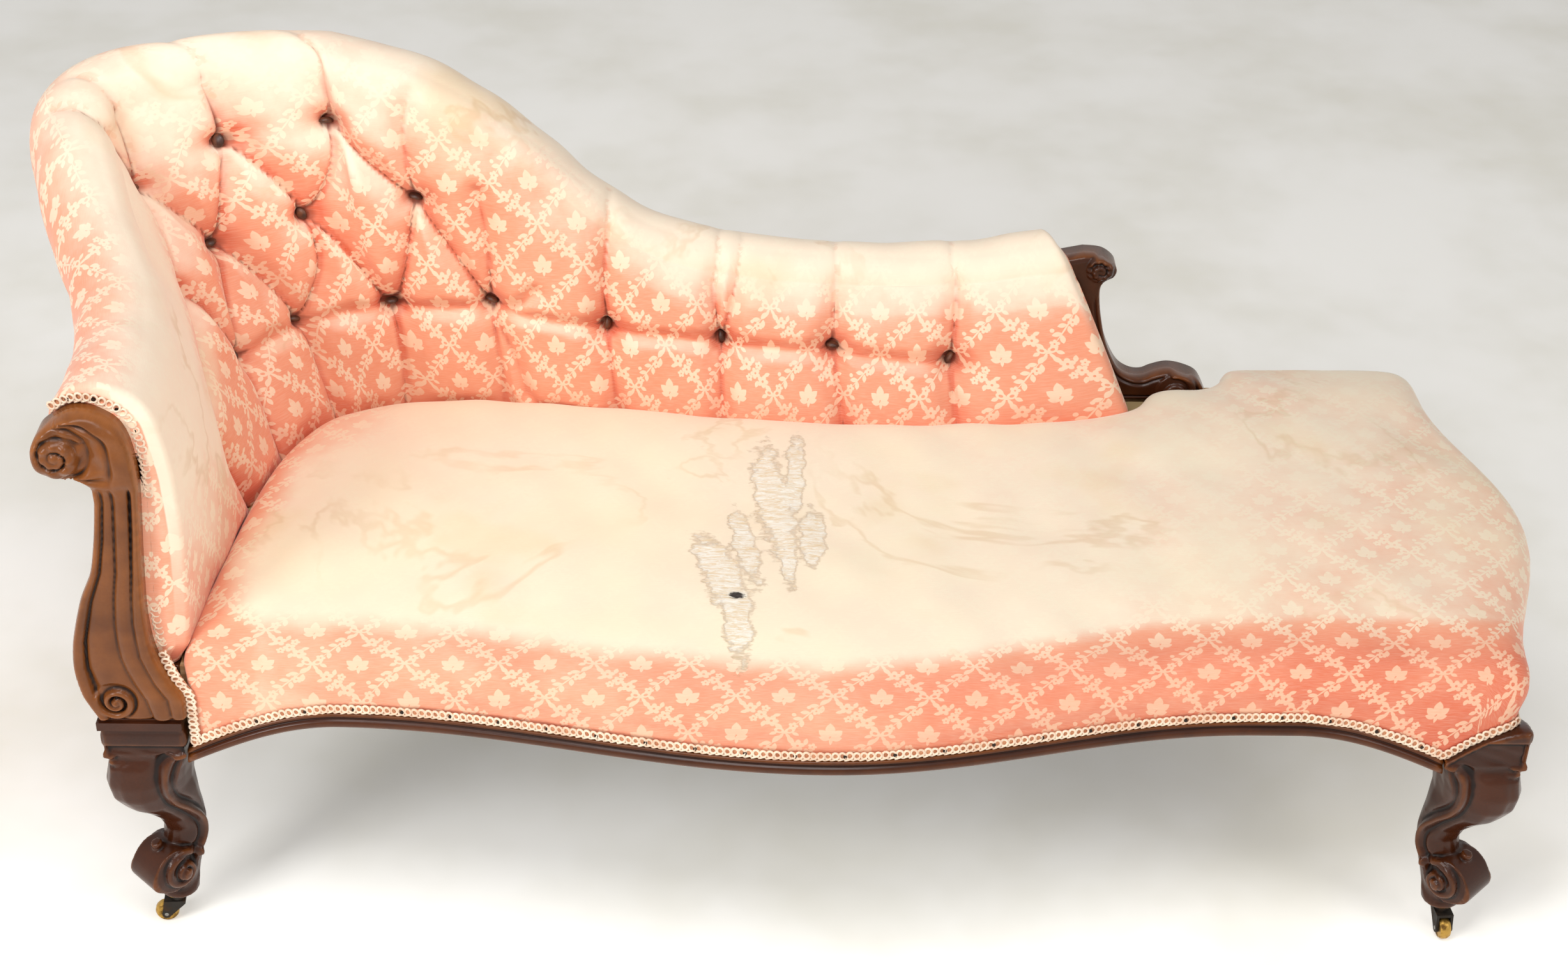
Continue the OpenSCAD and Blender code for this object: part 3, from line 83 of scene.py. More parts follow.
def sums(tree, operation, first, second=0.0, third=0.0, clamp=False):
    return put(tree, "ShaderNodeMath", {0: first, 1: second, 2: third}, operation=operation,
               use_clamp=clamp).outputs[0]


def blend(tree, share, first, second):
    made = put(tree, "ShaderNodeMix", data_type="RGBA")
    for key, value in ((0, share), (6, first), (7, second)):
        if isinstance(value, bpy.types.NodeSocket):
            tree.links.new(value, made.inputs[key])
        elif key:
            made.inputs[key].default_value = (*value, 1.0)
        else:
            made.inputs[key].default_value = value
    return made.outputs[2]


def steps(tree, value, low, high, to_low=0.0, to_high=1.0):
    return put(tree, "ShaderNodeMapRange", {0: value, 1: low, 2: high, 3: to_low, 4: to_high},
               interpolation_type="SMOOTHSTEP").outputs[0]


def noise(tree, vector, scale, detail=3.0, rough=0.5, warp=0.0):
    return put(tree, "ShaderNodeTexNoise", {"Vector": vector, "Scale": scale, "Detail": detail,
               "Roughness": rough, "Distortion": warp}).outputs["Fac"]


def in_light(code):
    """Colour as it looks, in the linear values a shader takes."""
    shares = [int(code[i:i + 2], 16) / 255 for i in (0, 2, 4)]
    return tuple(c / 12.92 if c <= 0.04045 else ((c + 0.055) / 1.055) ** 2.4 for c in shares)


def new_finish(name, **plain):
    finish = bpy.data.materials.new(name)
    finish.use_nodes = True
    tree = finish.node_tree
    shader = tree.nodes["Principled BSDF"]
    for key, value in plain.items():
        shader.inputs[key.replace("_", " ")].default_value = value
    return finish, tree, shader


def object_place(tree):
    return put(tree, "ShaderNodeTexCoord").outputs["Object"]


floor_reach = 12
floor = mesh_piece("floor", [(-floor_reach, -floor_reach, 0), (floor_reach, -floor_reach, 0),
                             (floor_reach, floor_reach, 0), (-floor_reach, floor_reach, 0)], [(0, 1, 2, 3)])
floor_finish, tree, shader = new_finish("studio floor", Roughness=0.6)
shader.inputs["Specular IOR Level"].default_value = 0.2
place = object_place(tree)
smear = noise(tree, place, 2.2, 4.0, 0.6)
marks = blend(tree, steps(tree, smear, 0.35, 0.75), in_light("FBF9F4"), in_light("ECE9DF"))
tree.links.new(marks, shader.inputs["Base Color"])
tree.links.new(marks, shader.inputs["Emission Color"])
# The floor glows more in front of the couch than under and behind it: painted light in front and painted shade
# under the couch
deep_in = put(tree, "ShaderNodeSeparateXYZ", {0: place}).outputs["Y"]
tree.links.new(steps(tree, deep_in, 0.10, -0.62, 0.25, 0.66), shader.inputs["Emission Strength"])
floor.data.materials.append(floor_finish)

world = bpy.data.worlds.new("studio")
bpy.context.scene.world = world
world.use_nodes = True
tree = world.node_tree
sky = tree.nodes["Background"]
sky.inputs["Color"].default_value = (1.0, 0.99, 0.975, 1.0)
rays = put(tree, "ShaderNodeLightPath")
seen = sums(tree, "ADD", rays.outputs["Is Camera Ray"], rays.outputs["Is Glossy Ray"])
seen = sums(tree, "ADD", seen, rays.outputs["Is Transmission Ray"], clamp=True)
sky_light, sky_shown = 0.26, 0.84
tree.links.new(sums(tree, "MULTIPLY_ADD", seen, sky_shown - sky_light, sky_light), sky.inputs["Strength"])


def lamp(name, place, aim, size, power):
    data = bpy.data.lights.new(name, "AREA")
    data.shape = "RECTANGLE"
    data.size, data.size_y = size
    data.energy = power
    made = link(bpy.data.objects.new(name, data))
    made.location = place
    made.rotation_euler = (Vector(aim) - Vector(place)).to_track_quat("-Z", "Y").to_euler()


lamp("left window", (-2.4, -2.4, 2.4), (-0.1, 0.0, 0.4), (1.2, 1.2), 60)
lamp("right window", (2.8, -1.8, 2.6), (0.2, 0.0, 0.4), (1.4, 1.4), 26)
lamp("top softbox", (-0.3, -1.2, 3.0), (-0.2, 0.1, 0.4), (1.6, 1.2), 40)
bpy.context.scene.view_settings.view_transform = "Standard"


# Beech frame: sawn rails, posts, a stretcher and corner braces, glued and
# screwed. It is hidden under the stuffing, and left bare and dusty.
def stretched(tree, vector, scale, place=(0, 0, 0), spin=(0, 0, 0)):
    return put(tree, "ShaderNodeMapping", {"Vector": vector, "Location": place, "Rotation": spin,
               "Scale": scale}).outputs[0]


def new_group(name, inputs, outputs):
    group = bpy.data.node_groups.new(name, "ShaderNodeTree")
    for label, kind, value in inputs:
        socket = group.interface.new_socket(label, in_out="INPUT", socket_type="NodeSocket" + kind)
        if value is not None:
            socket.default_value = value
    for label, kind in outputs:
        group.interface.new_socket(label, in_out="OUTPUT", socket_type="NodeSocket" + kind)
    return group, group.nodes.new("NodeGroupInput"), group.nodes.new("NodeGroupOutput")


def placed_group(tree, group, inputs):
    return put(tree, "ShaderNodeGroup", inputs, node_tree=group)


def emboss(tree, shader, strength, distance, height):
    raised = put(tree, "ShaderNodeBump", {"Strength": strength, "Distance": distance, "Height": height})
    tree.links.new(raised.outputs[0], shader.inputs["Normal"])


def dress(finish, *names):
    """These CAD pieces stay as they are, in this finish."""
    for name in names:
        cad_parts[name].data.materials.clear()
        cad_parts[name].data.materials.append(finish)


grain, given, gives = new_group("wood grain", [("Place", "Vector", None), ("Ring size", "Float", 14.0),
                                ("Fibre", "Float", 260.0)], [("Rings", "Float"), ("Fibres", "Float")])
waved = put(grain, "ShaderNodeVectorMath", {0: given.outputs["Place"]}, operation="ADD")
bend = put(grain, "ShaderNodeTexNoise", {"Vector": given.outputs["Place"], "Scale": 3.5, "Detail": 2.0})
grain.links.new(put(grain, "ShaderNodeVectorMath", {0: bend.outputs["Color"], "Scale": 0.10},
                operation="SCALE").outputs[0], waved.inputs[1])
ringed = put(grain, "ShaderNodeTexNoise", {"Vector": waved.outputs[0], "Detail": 3.0, "Distortion": 0.6})
grain.links.new(given.outputs["Ring size"], ringed.inputs["Scale"])
fibred = put(grain, "ShaderNodeTexNoise", {"Vector": stretched(grain, waved.outputs[0], (1, 1, 1)),
             "Detail": 2.0, "Roughness": 0.7})
grain.links.new(given.outputs["Fibre"], fibred.inputs["Scale"])
grain.links.new(ringed.outputs["Fac"], gives.inputs["Rings"])
grain.links.new(fibred.outputs["Fac"], gives.inputs["Fibres"])


def wood_finish(name, dark, light, run, shine, bump, **plain):
    """Wood with its grain along the axis that the run squeezes."""
    finish, tree, shader = new_finish(name, Roughness=shine, **plain)
    shader.inputs["Specular IOR Level"].default_value = 0.4
    lay = placed_group(tree, grain, {"Place": stretched(tree, object_place(tree), run)})
    tone = sums(tree, "MULTIPLY", lay.outputs["Rings"], 0.75)
    tone = sums(tree, "MULTIPLY_ADD", lay.outputs["Fibres"], 0.35, tone)
    colour = blend(tree, steps(tree, tone, 0.38, 0.72), in_light(dark), in_light(light))
    tree.links.new(colour, shader.inputs["Base Color"])
    emboss(tree, shader, bump, 0.0004, lay.outputs["Fibres"])
    return finish


beech_long = wood_finish("beech along", "B48A5C", "D9B98C", (1.2, 14, 14), 0.62, 0.4)
beech_up = wood_finish("beech upright", "B48A5C", "D9B98C", (14, 14, 1.2), 0.62, 0.4)
dress(beech_long, "front_rail", "rear_rail", "back_top_rail", "back_stay_rails", "head_top_rail", "corner_braces")
dress(beech_up, "foot_end_rail", "head_end_rail", "cross_stretcher", "back_post_head", "back_post_middle",
      "back_post_foot", "arm_post", "head_end_post", "head_corner_post")


# Screws, springs, webbing, canvas and bottom cloth: steel, jute and black
# cotton. The webbing is woven jute with a stripe, the canvas is coarse flax.
def metal_finish(name, tone, spots, shine, metal=1.0):
    finish, tree, shader = new_finish(name, Metallic=metal)
    place = object_place(tree)
    patch = noise(tree, place, 90.0, 4.0, 0.65)
    tree.links.new(blend(tree, steps(tree, patch, 0.45, 0.7), in_light(tone), in_light(spots)),
                   shader.inputs["Base Color"])
    tree.links.new(steps(tree, patch, 0.35, 0.7, shine, shine + 0.28), shader.inputs["Roughness"])
    emboss(tree, shader, 0.25, 0.0003, noise(tree, place, 700.0, 2.0))
    return finish


def cloth_finish(name, dark, light, pitch):
    """Plain woven cloth at this thread pitch. The weft is tilted, so that it shows on upright cloth too."""
    finish, tree, shader = new_finish(name, Roughness=0.9)
    shader.inputs["Specular IOR Level"].default_value = 0.15
    place = object_place(tree)
    warp = put(tree, "ShaderNodeTexWave", {"Vector": place, "Scale": 1 / pitch, "Distortion": 1.2, "Detail": 1.0},
               bands_direction="X").outputs["Fac"]
    weft = put(tree, "ShaderNodeTexWave", {"Vector": stretched(tree, place, (1, 1, 1), spin=(0.78, 0, 0)),
               "Scale": 1 / pitch, "Distortion": 1.2, "Detail": 1.0}, bands_direction="Y").outputs["Fac"]
    woven = sums(tree, "MULTIPLY", warp, weft)
    tired = noise(tree, place, 6.0, 4.0)
    mix = sums(tree, "MULTIPLY_ADD", woven, 0.5, sums(tree, "MULTIPLY", tired, 0.6))
    tree.links.new(blend(tree, mix, in_light(dark), in_light(light)), shader.inputs["Base Color"])
    emboss(tree, shader, 0.5, 0.0005, woven)
    return finish


steel = metal_finish("screw steel", "8E8C88", "5B4A3C", 0.34)
spring_wire = metal_finish("spring steel", "7C7468", "6B4A32", 0.40)
jute = cloth_finish("jute webbing", "8C7448", "BFA878", 0.002)
flax = cloth_finish("spring canvas", "A98F62", "CDB88C", 0.0015)
black_cotton = cloth_finish("bottom cloth", "17150F", "36332C", 0.0012)
dress(steel, "brace_screws", "show_wood_screws")
dress(spring_wire, "seat_springs")
dress(jute, "seat_webbing", "back_webbing")
dress(flax, "spring_canvas")
dress(black_cotton, "bottom_cloth")


# Back upholstery: horsehair stuffing under the brocade, deep buttoned at the
# head, with pleats from button to button and up over a fat rolled top. It is
# tacked under the roll, along the rails and behind the facing and terminal.

# Its brocade is coral silk with a woven cream figure. Garlands of small flowers and leafy sprays meet
# at ribbon bows and make a net, with a leaf sprig in each mesh. Sun has bleached it where it faces up,
# and it is worn and stained. Its pillow tops are paler and its hollows deeper coral partly with painted light and
# shade.
figure, given, gives = new_group("brocade figure", [("Cloth", "Vector", None), ("Across", "Float", 0.1),
                                 ("Up", "Float", 0.108)], [("Figure", "Float")])
flat = put(figure, "ShaderNodeSeparateXYZ", {0: given.outputs["Cloth"]})
wide = sums(figure, "DIVIDE", flat.outputs[0], given.outputs["Across"])
tall = sums(figure, "DIVIDE", flat.outputs[1], given.outputs["Up"])
rising = sums(figure, "ADD", wide, tall)
falling = sums(figure, "SUBTRACT", wide, tall)


def mesh_centre(along, across):
    """Place in mm in the repeat centred at these shares of the net's two ways, with 1 for height."""
    first = sums(figure, "SUBTRACT", rising, along)
    first = sums(figure, "SUBTRACT", first, sums(figure, "ROUND", first))
    second = sums(figure, "SUBTRACT", falling, across)
    second = sums(figure, "SUBTRACT", second, sums(figure, "ROUND", second))
    x = sums(figure, "MULTIPLY", sums(figure, "ADD", first, second), 50.0)
    y = sums(figure, "MULTIPLY", sums(figure, "SUBTRACT", first, second), 54.0)
    return put(figure, "ShaderNodeCombineXYZ", {0: x, 1: y, 2: 1.0}).outputs[0]


def local(centre, x, y, lean, length, width):
    """Shares along and across an oval at x, y."""
    c, s = math.cos(math.radians(lean)), math.sin(math.radians(lean))
    ways = ((c / length, s / length, -(x * c + y * s) / length),
            (-s / width, c / width, (x * s - y * c) / width))
    return [put(figure, "ShaderNodeVectorMath", {0: centre, 1: way}, operation="DOT_PRODUCT").outputs["Value"]
            for way in ways]


def leaf(centre, x, y, lean, length, width):
    along, off = local(centre, x, y, lean, length / 2, width / 2)
    return sums(figure, "MULTIPLY_ADD", along, along, sums(figure, "ABSOLUTE", off))


def bud(centre, x, y, size):
    along, off = local(centre, x, y, 0, size / 2, size / 2)
    return sums(figure, "MULTIPLY_ADD", along, along, sums(figure, "MULTIPLY", off, off))


def ribbon_loop(centre, x, y, lean, length, width):
    along, off = local(centre, x, y, lean, length / 2, width / 2)
    round_it = sums(figure, "MULTIPLY_ADD", along, along, sums(figure, "MULTIPLY", off, off))
    return sums(figure, "DIVIDE", sums(figure, "ABSOLUTE", sums(figure, "SUBTRACT", round_it, 0.60)), 0.40)


def flower(centre, x, y, size, lean=0):
    """Five petals round a small open eye."""
    along, off = local(centre, x, y, lean, size / 2, size / 2)
    reach = sums(figure, "SQRT", sums(figure, "MULTIPLY_ADD", along, along, sums(figure, "MULTIPLY", off, off)))
    angle = sums(figure, "ARCTAN2", off, along)
    scallop = sums(figure, "ABSOLUTE", sums(figure, "COSINE", sums(figure, "MULTIPLY", angle, 2.5)))
    petals = sums(figure, "DIVIDE", reach, sums(figure, "MULTIPLY_ADD", scallop, 0.36, 0.64))
    eye = sums(figure, "MULTIPLY_ADD", reach, -4.5, 1.9)
    return sums(figure, "MAXIMUM", petals, eye)


bow = mesh_centre(0.0, 0.0)
sprig = mesh_centre(0.5, 0.5)
posy = mesh_centre(0.0, 0.5)
spray = mesh_centre(0.5, 0.0)
# Sprig in the mesh: an upright leaf with two pairs of side leaves and a stalk
motifs = [(leaf, sprig, 0, 5.8, 90, 18, 10), (leaf, sprig, -6.4, 0.4, 138, 15, 9),
          (leaf, sprig, 6.4, 0.4, 42, 15, 9), (leaf, sprig, -6.0, -6.2, 168, 12, 7),
          (leaf, sprig, 6.0, -6.2, 12, 12, 7), (leaf, sprig, 0.5, -9, 84, 11, 3.8)]
# Bow where the garlands meet
motifs += [(ribbon_loop, bow, -5.6, 3.4, -24, 11.5, 8), (ribbon_loop, bow, 5.6, 3.4, 24, 11.5, 8),
           (leaf, bow, -3.6, -5.4, 64, 12, 3.8), (leaf, bow, 4.0, -5.2, -60, 12, 3.8),
           (bud, bow, 0, 0.6, 4.4), (leaf, bow, -12.0, -1.0, 25, 9, 5),
           (leaf, bow, 12.0, -1.4, -30, 9, 5)]
# Posy on the falling side of the net: three open flowers between leaves
motifs += [(flower, posy, -10.0, 9.5, 15.5, 12), (flower, posy, 1.2, -0.6, 13.5, 40),
           (flower, posy, 11.0, -10.0, 15.5, 66), (flower, posy, 6.2, 8.6, 10),
           (flower, posy, -7.4, -5.8, 9.5, 20), (leaf, posy, -18.0, 16.5, -50, 12, 6),
           (leaf, posy, -16.5, 4.0, 15, 9, 4.6), (leaf, posy, 17.0, -1.8, 20, 9, 4.6),
           (leaf, posy, 18.5, -18.0, -48, 12, 6), (leaf, posy, -1.0, 15.0, 75, 9, 5),
           (leaf, posy, 2.5, -13.5, 70, 9, 5)]
# Spray on the rising side: a stem with paired leaves and a fern tip
motifs += [(leaf, spray, 0, 0, 47, 46, 1.8), (leaf, spray, -11.0, -6.0, 4, 11, 5.6),
           (leaf, spray, -6.6, -13.0, 86, 11, 5.6), (leaf, spray, -3.2, 3.4, 2, 10.5, 5.4),
           (leaf, spray, 3.4, -3.6, 88, 10.5, 5.4), (flower, spray, 9.0, 5.0, 11, 30),
           (leaf, spray, 6.0, 13.0, 8, 11, 5.4), (leaf, spray, 15.0, 7.5, 84, 11, 5.4),
           (leaf, spray, 16.5, 18.0, 48, 12, 6), (bud, spray, -15.0, -0.5, 5),
           (bud, spray, 1.0, 10.5, 4.6), (flower, spray, -16.0, -17.0, 11)]
nearest = None
for kind, *where in motifs:
    shape = kind(*where)
    nearest = sums(figure, "MINIMUM", nearest, shape) if nearest else shape
figure.links.new(steps(figure, nearest, 1.12, 0.92), gives.inputs["Figure"])


def marked(tree, name):
    """A number that the mesh carries at each vertex."""
    return put(tree, "ShaderNodeAttribute", attribute_name=name).outputs["Fac"]


def brocade_finish(name, across, up, worn=None, flat=False):
    """The piece says where sun has bleached it, where its folds and hollows hold painted shade, and how the cloth
    lies; a flat panel's lies along its face.
    """
    finish, tree, shader = new_finish(name, Roughness=0.62, Sheen_Weight=0.28, Sheen_Roughness=0.4)
    shader.inputs["Specular IOR Level"].default_value = 0.30
    place = object_place(tree)
    if flat:
        bits = put(tree, "ShaderNodeSeparateXYZ", {0: place})
        facing = put(tree, "ShaderNodeSeparateXYZ", {0: put(tree, "ShaderNodeTexCoord").outputs["Normal"]})
        to_rear = sums(tree, "GREATER_THAN", sums(tree, "ABSOLUTE", facing.outputs["Y"]),
                       sums(tree, "ABSOLUTE", facing.outputs["X"]))
        run = sums(tree, "MULTIPLY_ADD", to_rear,
                   sums(tree, "SUBTRACT", bits.outputs["X"], bits.outputs["Y"]), bits.outputs["Y"])
        laid_map = put(tree, "ShaderNodeCombineXYZ", {0: run, 1: bits.outputs["Z"]}).outputs[0]
    else:
        laid_map = put(tree, "ShaderNodeUVMap", uv_map="cloth").outputs[0]
    sway = put(tree, "ShaderNodeTexNoise", {"Vector": laid_map, "Scale": 9.0, "Detail": 1.0}).outputs["Color"]
    drift = put(tree, "ShaderNodeVectorMath", {0: sway, 1: (0.5, 0.5, 0.5)}, operation="SUBTRACT").outputs[0]
    pulled = put(tree, "ShaderNodeVectorMath", {0: drift, "Scale": 0.010}, operation="SCALE").outputs[0]
    laid = put(tree, "ShaderNodeVectorMath", {0: laid_map, 1: pulled}, operation="ADD").outputs[0]
    woven = placed_group(tree, figure, {"Cloth": laid, "Across": across, "Up": up})
    sun = marked(tree, "sun")
    deep = marked(tree, "deep")
    cloud = noise(tree, place, 7.0, 4.0, 0.6)
    fine = noise(tree, place, 42.0, 4.0, 0.65)
    slub = noise(tree, stretched(tree, laid, (60, 900, 1)), 1.0, 3.0, 0.6)
    bleached = sums(tree, "MULTIPLY_ADD", cloud, 0.55, sums(tree, "ADD", sun, -0.275))
    bleached = sums(tree, "MULTIPLY_ADD", fine, 0.22, sums(tree, "ADD", bleached, -0.11))
    bleached = steps(tree, bleached, 0.22, 0.88)
    # Deeper coral where the piece marks it deep: partly unfaded cloth, partly painted shade in folds and hollows
    ground = blend(tree, steps(tree, deep, 0.0, 1.0), in_light("F39B78"), in_light("D65C3A"))
    ground = blend(tree, steps(tree, cloud, 0.30, 0.75, 0.0, 0.5), ground, in_light("F5A886"))
    ground = blend(tree, bleached, ground, in_light("FCE8D0"))
    thread = blend(tree, bleached, in_light("FBDABB"), in_light("FCEDD4"))
    thread = blend(tree, steps(tree, deep, 0.0, 0.5, 0.0, 0.64), thread, in_light("EBA784"))
    shown = sums(tree, "MULTIPLY", woven.outputs["Figure"], steps(tree, fine, 0.2, 0.42, 0.55, 0.93))
    shown = sums(tree, "MULTIPLY", shown, steps(tree, bleached, 0.55, 1.0, 1.0, 0.42))
    colour = blend(tree, shown, ground, thread)
    colour = blend(tree, sums(tree, "MULTIPLY", steps(tree, slub, 0.35, 0.8), 0.20), colour, in_light("FCE9D4"))
    # Water has left thin brown outlines on the bleached cloth
    tide = noise(tree, place, 2.8, 5.0, 0.58, 0.5)
    rim = steps(tree, sums(tree, "ABSOLUTE", sums(tree, "SUBTRACT", tide, 0.53)), 0.020, 0.001)
    broken = steps(tree, noise(tree, place, 5.0, 3.0), 0.40, 0.58)
    rim = sums(tree, "MULTIPLY", sums(tree, "MULTIPLY", rim, broken), sums(tree, "MULTIPLY", bleached, 0.32))
    colour = blend(tree, rim, colour, in_light("CB9A58"))
    stain = sums(tree, "MULTIPLY", steps(tree, noise(tree, place, 5.3, 3.0), 0.56, 0.72),
                 sums(tree, "MULTIPLY", bleached, 0.34))
    colour = blend(tree, stain, colour, in_light("E6C188"))
    height = sums(tree, "MULTIPLY_ADD", fine, 0.8, sums(tree, "MULTIPLY", slub, 0.55))
    if worn:
        colour, height = worn(tree, place, colour, height)
    # Dark brown where the deep mark passes 1: painted shadow along pleat lines and in button pits
    colour = blend(tree, steps(tree, deep, 1.15, 2.0, 0.0, 0.85), colour, in_light("6E2A1C"))
    tree.links.new(colour, shader.inputs["Base Color"])
    emboss(tree, shader, 0.55, 0.0006, height)
    tree.links.new(sums(tree, "MULTIPLY_ADD", shown, -0.14, 0.66), shader.inputs["Roughness"])
    return finish


def give_number(piece, name, values):
    spot = piece.data.attributes.new(name, "FLOAT", "POINT")
    spot.data.foreach_set("value", np.asarray(values, np.float32).ravel())


def give_map(piece, across, up):
    """Lays the cloth: one place on it, in metres, for each vertex."""
    data = piece.data
    corners = np.zeros(len(data.loops), np.int32)
    data.loops.foreach_get("vertex_index", corners)
    laid = np.stack([np.asarray(across)[corners], np.asarray(up)[corners]], 1)
    data.uv_layers.new(name="cloth").data.foreach_set("uv", laid.astype(np.float32).ravel())


# Stations from the arm facing round the head to the terminal, each in shares: foot x and y, frame x
# and y, top of the roll, lean, roll radius, how far the roll stands out, and slant.
back_stations = np.array([
    [-0.941, -0.999, -1.005, -0.999,  0.848,  0.00, 1.00, 1.83, 0.00],
    [-0.934, -0.717, -1.028, -0.704,  0.842,  0.00, 1.00, 1.35, 0.00],
    [-0.922, -0.409, -1.055, -0.409,  0.836,  0.00, 0.98, 1.00, 0.00],
    [-0.909, -0.084, -1.090, -0.078,  0.846,  0.00, 0.96, 1.00, 0.00],
    [-0.891,  0.188, -1.143,  0.206,  0.876,  0.00, 0.95, 1.00, 0.00],
    [-0.865,  0.389, -1.186,  0.449,  0.922,  0.00, 0.94, 1.00, 0.00],
    [-0.823,  0.564, -1.203,  0.703,  0.960,  0.00, 0.93, 1.00, 0.00],
    [-0.781,  0.630, -1.130,  0.881,  0.984,  0.00, 0.92, 1.00, 0.00],
    [-0.729,  0.691, -0.930,  0.976,  0.998,  0.00, 0.92, 1.00, 0.00],
    [-0.638,  0.725, -0.638,  1.000,  0.998, -0.23, 0.91, 1.00, 0.00],
    [-0.547,  0.733, -0.547,  1.000,  0.970, -0.18, 0.89, 1.00, 0.00],
    [-0.456,  0.719, -0.456,  1.000,  0.914, -0.16, 0.86, 1.00, 0.00],
    [-0.378,  0.697, -0.378,  1.000,  0.843, -0.14, 0.82, 1.00, 0.00],
    [-0.300,  0.673, -0.300,  1.000,  0.768, -0.12, 0.77, 1.00, 0.00],
    [-0.208,  0.645, -0.208,  1.000,  0.717, -0.10, 0.73, 1.00, 0.00],
    [-0.078,  0.606, -0.078,  1.000,  0.690, -0.06, 0.70, 1.00, 0.00],
    [0.091,  0.585,  0.091,  1.000,  0.680, -0.02, 0.69, 1.00, 0.00],
    [0.260,  0.582,  0.260,  1.000,  0.684, -0.06, 0.69, 1.00, 0.00],
    [0.415,  0.622,  0.415,  1.000,  0.698, -0.20, 0.69, 1.00, 0.15],
    [0.540,  0.715,  0.540,  1.000,  0.706, -0.38, 0.69, 1.00, 0.30]])
shift = np.array([0.0405857, 0.023])
half_span, front_face, rear_face, head_height = 0.768, -0.308, 0.330, 0.902
last, corner_end, tuck_z, rail_top = 19, 9, 0.4135, 0.400


def station(t):
    """Smooth values between the stations, one row for each t."""
    t = np.atleast_1d(np.asarray(t, float))
    i = np.clip(np.floor(t).astype(int), 0, last - 1)
    u = (t - i)[:, None]
    p0, p1, p2, p3 = (back_stations[np.clip(i + k, 0, last)] for k in (-1, 0, 1, 2))
    s = p1 + ((p2 - p0) * u + (2 * p0 - 5 * p1 + 4 * p2 - p3) * u ** 2
              + (3 * p1 - p0 - 3 * p2 + p3) * u ** 3) / 2
    flat_part = t >= corner_end
    deep = lambda share: share * np.where(share < 0, -front_face, rear_face)
    return {"x": s[:, 0] * half_span, "y": deep(s[:, 1]),
            "fx": np.where(flat_part, s[:, 0], s[:, 2]) * half_span,
            "fy": np.where(flat_part, rear_face, np.minimum(deep(s[:, 3]), rear_face)),
            "top": s[:, 4] * head_height, "lean": s[:, 5], "r": s[:, 6] * 0.055, "over": s[:, 7] * 0.030,
            "slant": s[:, 8]}


def back_place(s, d, z):
    """Row-frame places at distance d out from the back's inner foot and at height z."""
    run = np.stack([s["fx"] - s["x"], s["fy"] - s["y"]], -1)
    reach = np.linalg.norm(run, axis=-1)
    n = run / reach[..., None]
    x = s["x"] + (n[..., 0] - s["slant"]) * d + s["lean"] * (z - tuck_z)
    return np.stack([x + shift[0], s["y"] + n[..., 1] * d + shift[1], z], -1)


def back_reach(s):
    return np.hypot(s["fx"] - s["x"], s["fy"] - s["y"])


def lengths_along(line):
    return np.concatenate([[0], np.cumsum(np.linalg.norm(np.diff(line, axis=0), axis=1))])


def smooth_through(points, steps_each):
    """A smooth curve through the points, with so many steps from each to the next."""
    points = np.asarray(points, float)
    fine = []
    for i in range(len(points) - 1):
        p0, p1, p2, p3 = (points[min(max(i + k, 0), len(points) - 1)] for k in (-1, 0, 1, 2))
        for u in np.linspace(0, 1, steps_each, endpoint=False):
            fine.append(p1 + ((p2 - p0) * u + (2 * p0 - 5 * p1 + 4 * p2 - p3) * u ** 2
                              + (3 * p1 - p0 - 3 * p2 + p3) * u ** 3) / 2)
    return np.array(fine + [points[-1]])


def directions(ways):
    """The same ways, each 1 long."""
    return ways / (np.linalg.norm(ways, axis=-1, keepdims=True) + 1e-12)


def rides_on_couch(piece, slot, *stood_for):
    """The piece is fixed to the couch, and takes the place of the CAD pieces named last."""
    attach(piece, "couch")
    if stood_for:
        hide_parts(*stood_for)


buttons_at = [(5.73, 0.824), (7.35, 0.856), (8.48, 0.884), (4.81, 0.711), (6.49, 0.724), (7.82, 0.750),
              (9.65, 0.777), (5.33, 0.590), (7.17, 0.601), (8.75, 0.618), (10.43, 0.620), (12.65, 0.585),
              (14.51, 0.565), (15.67, 0.555), (16.83, 0.542)]
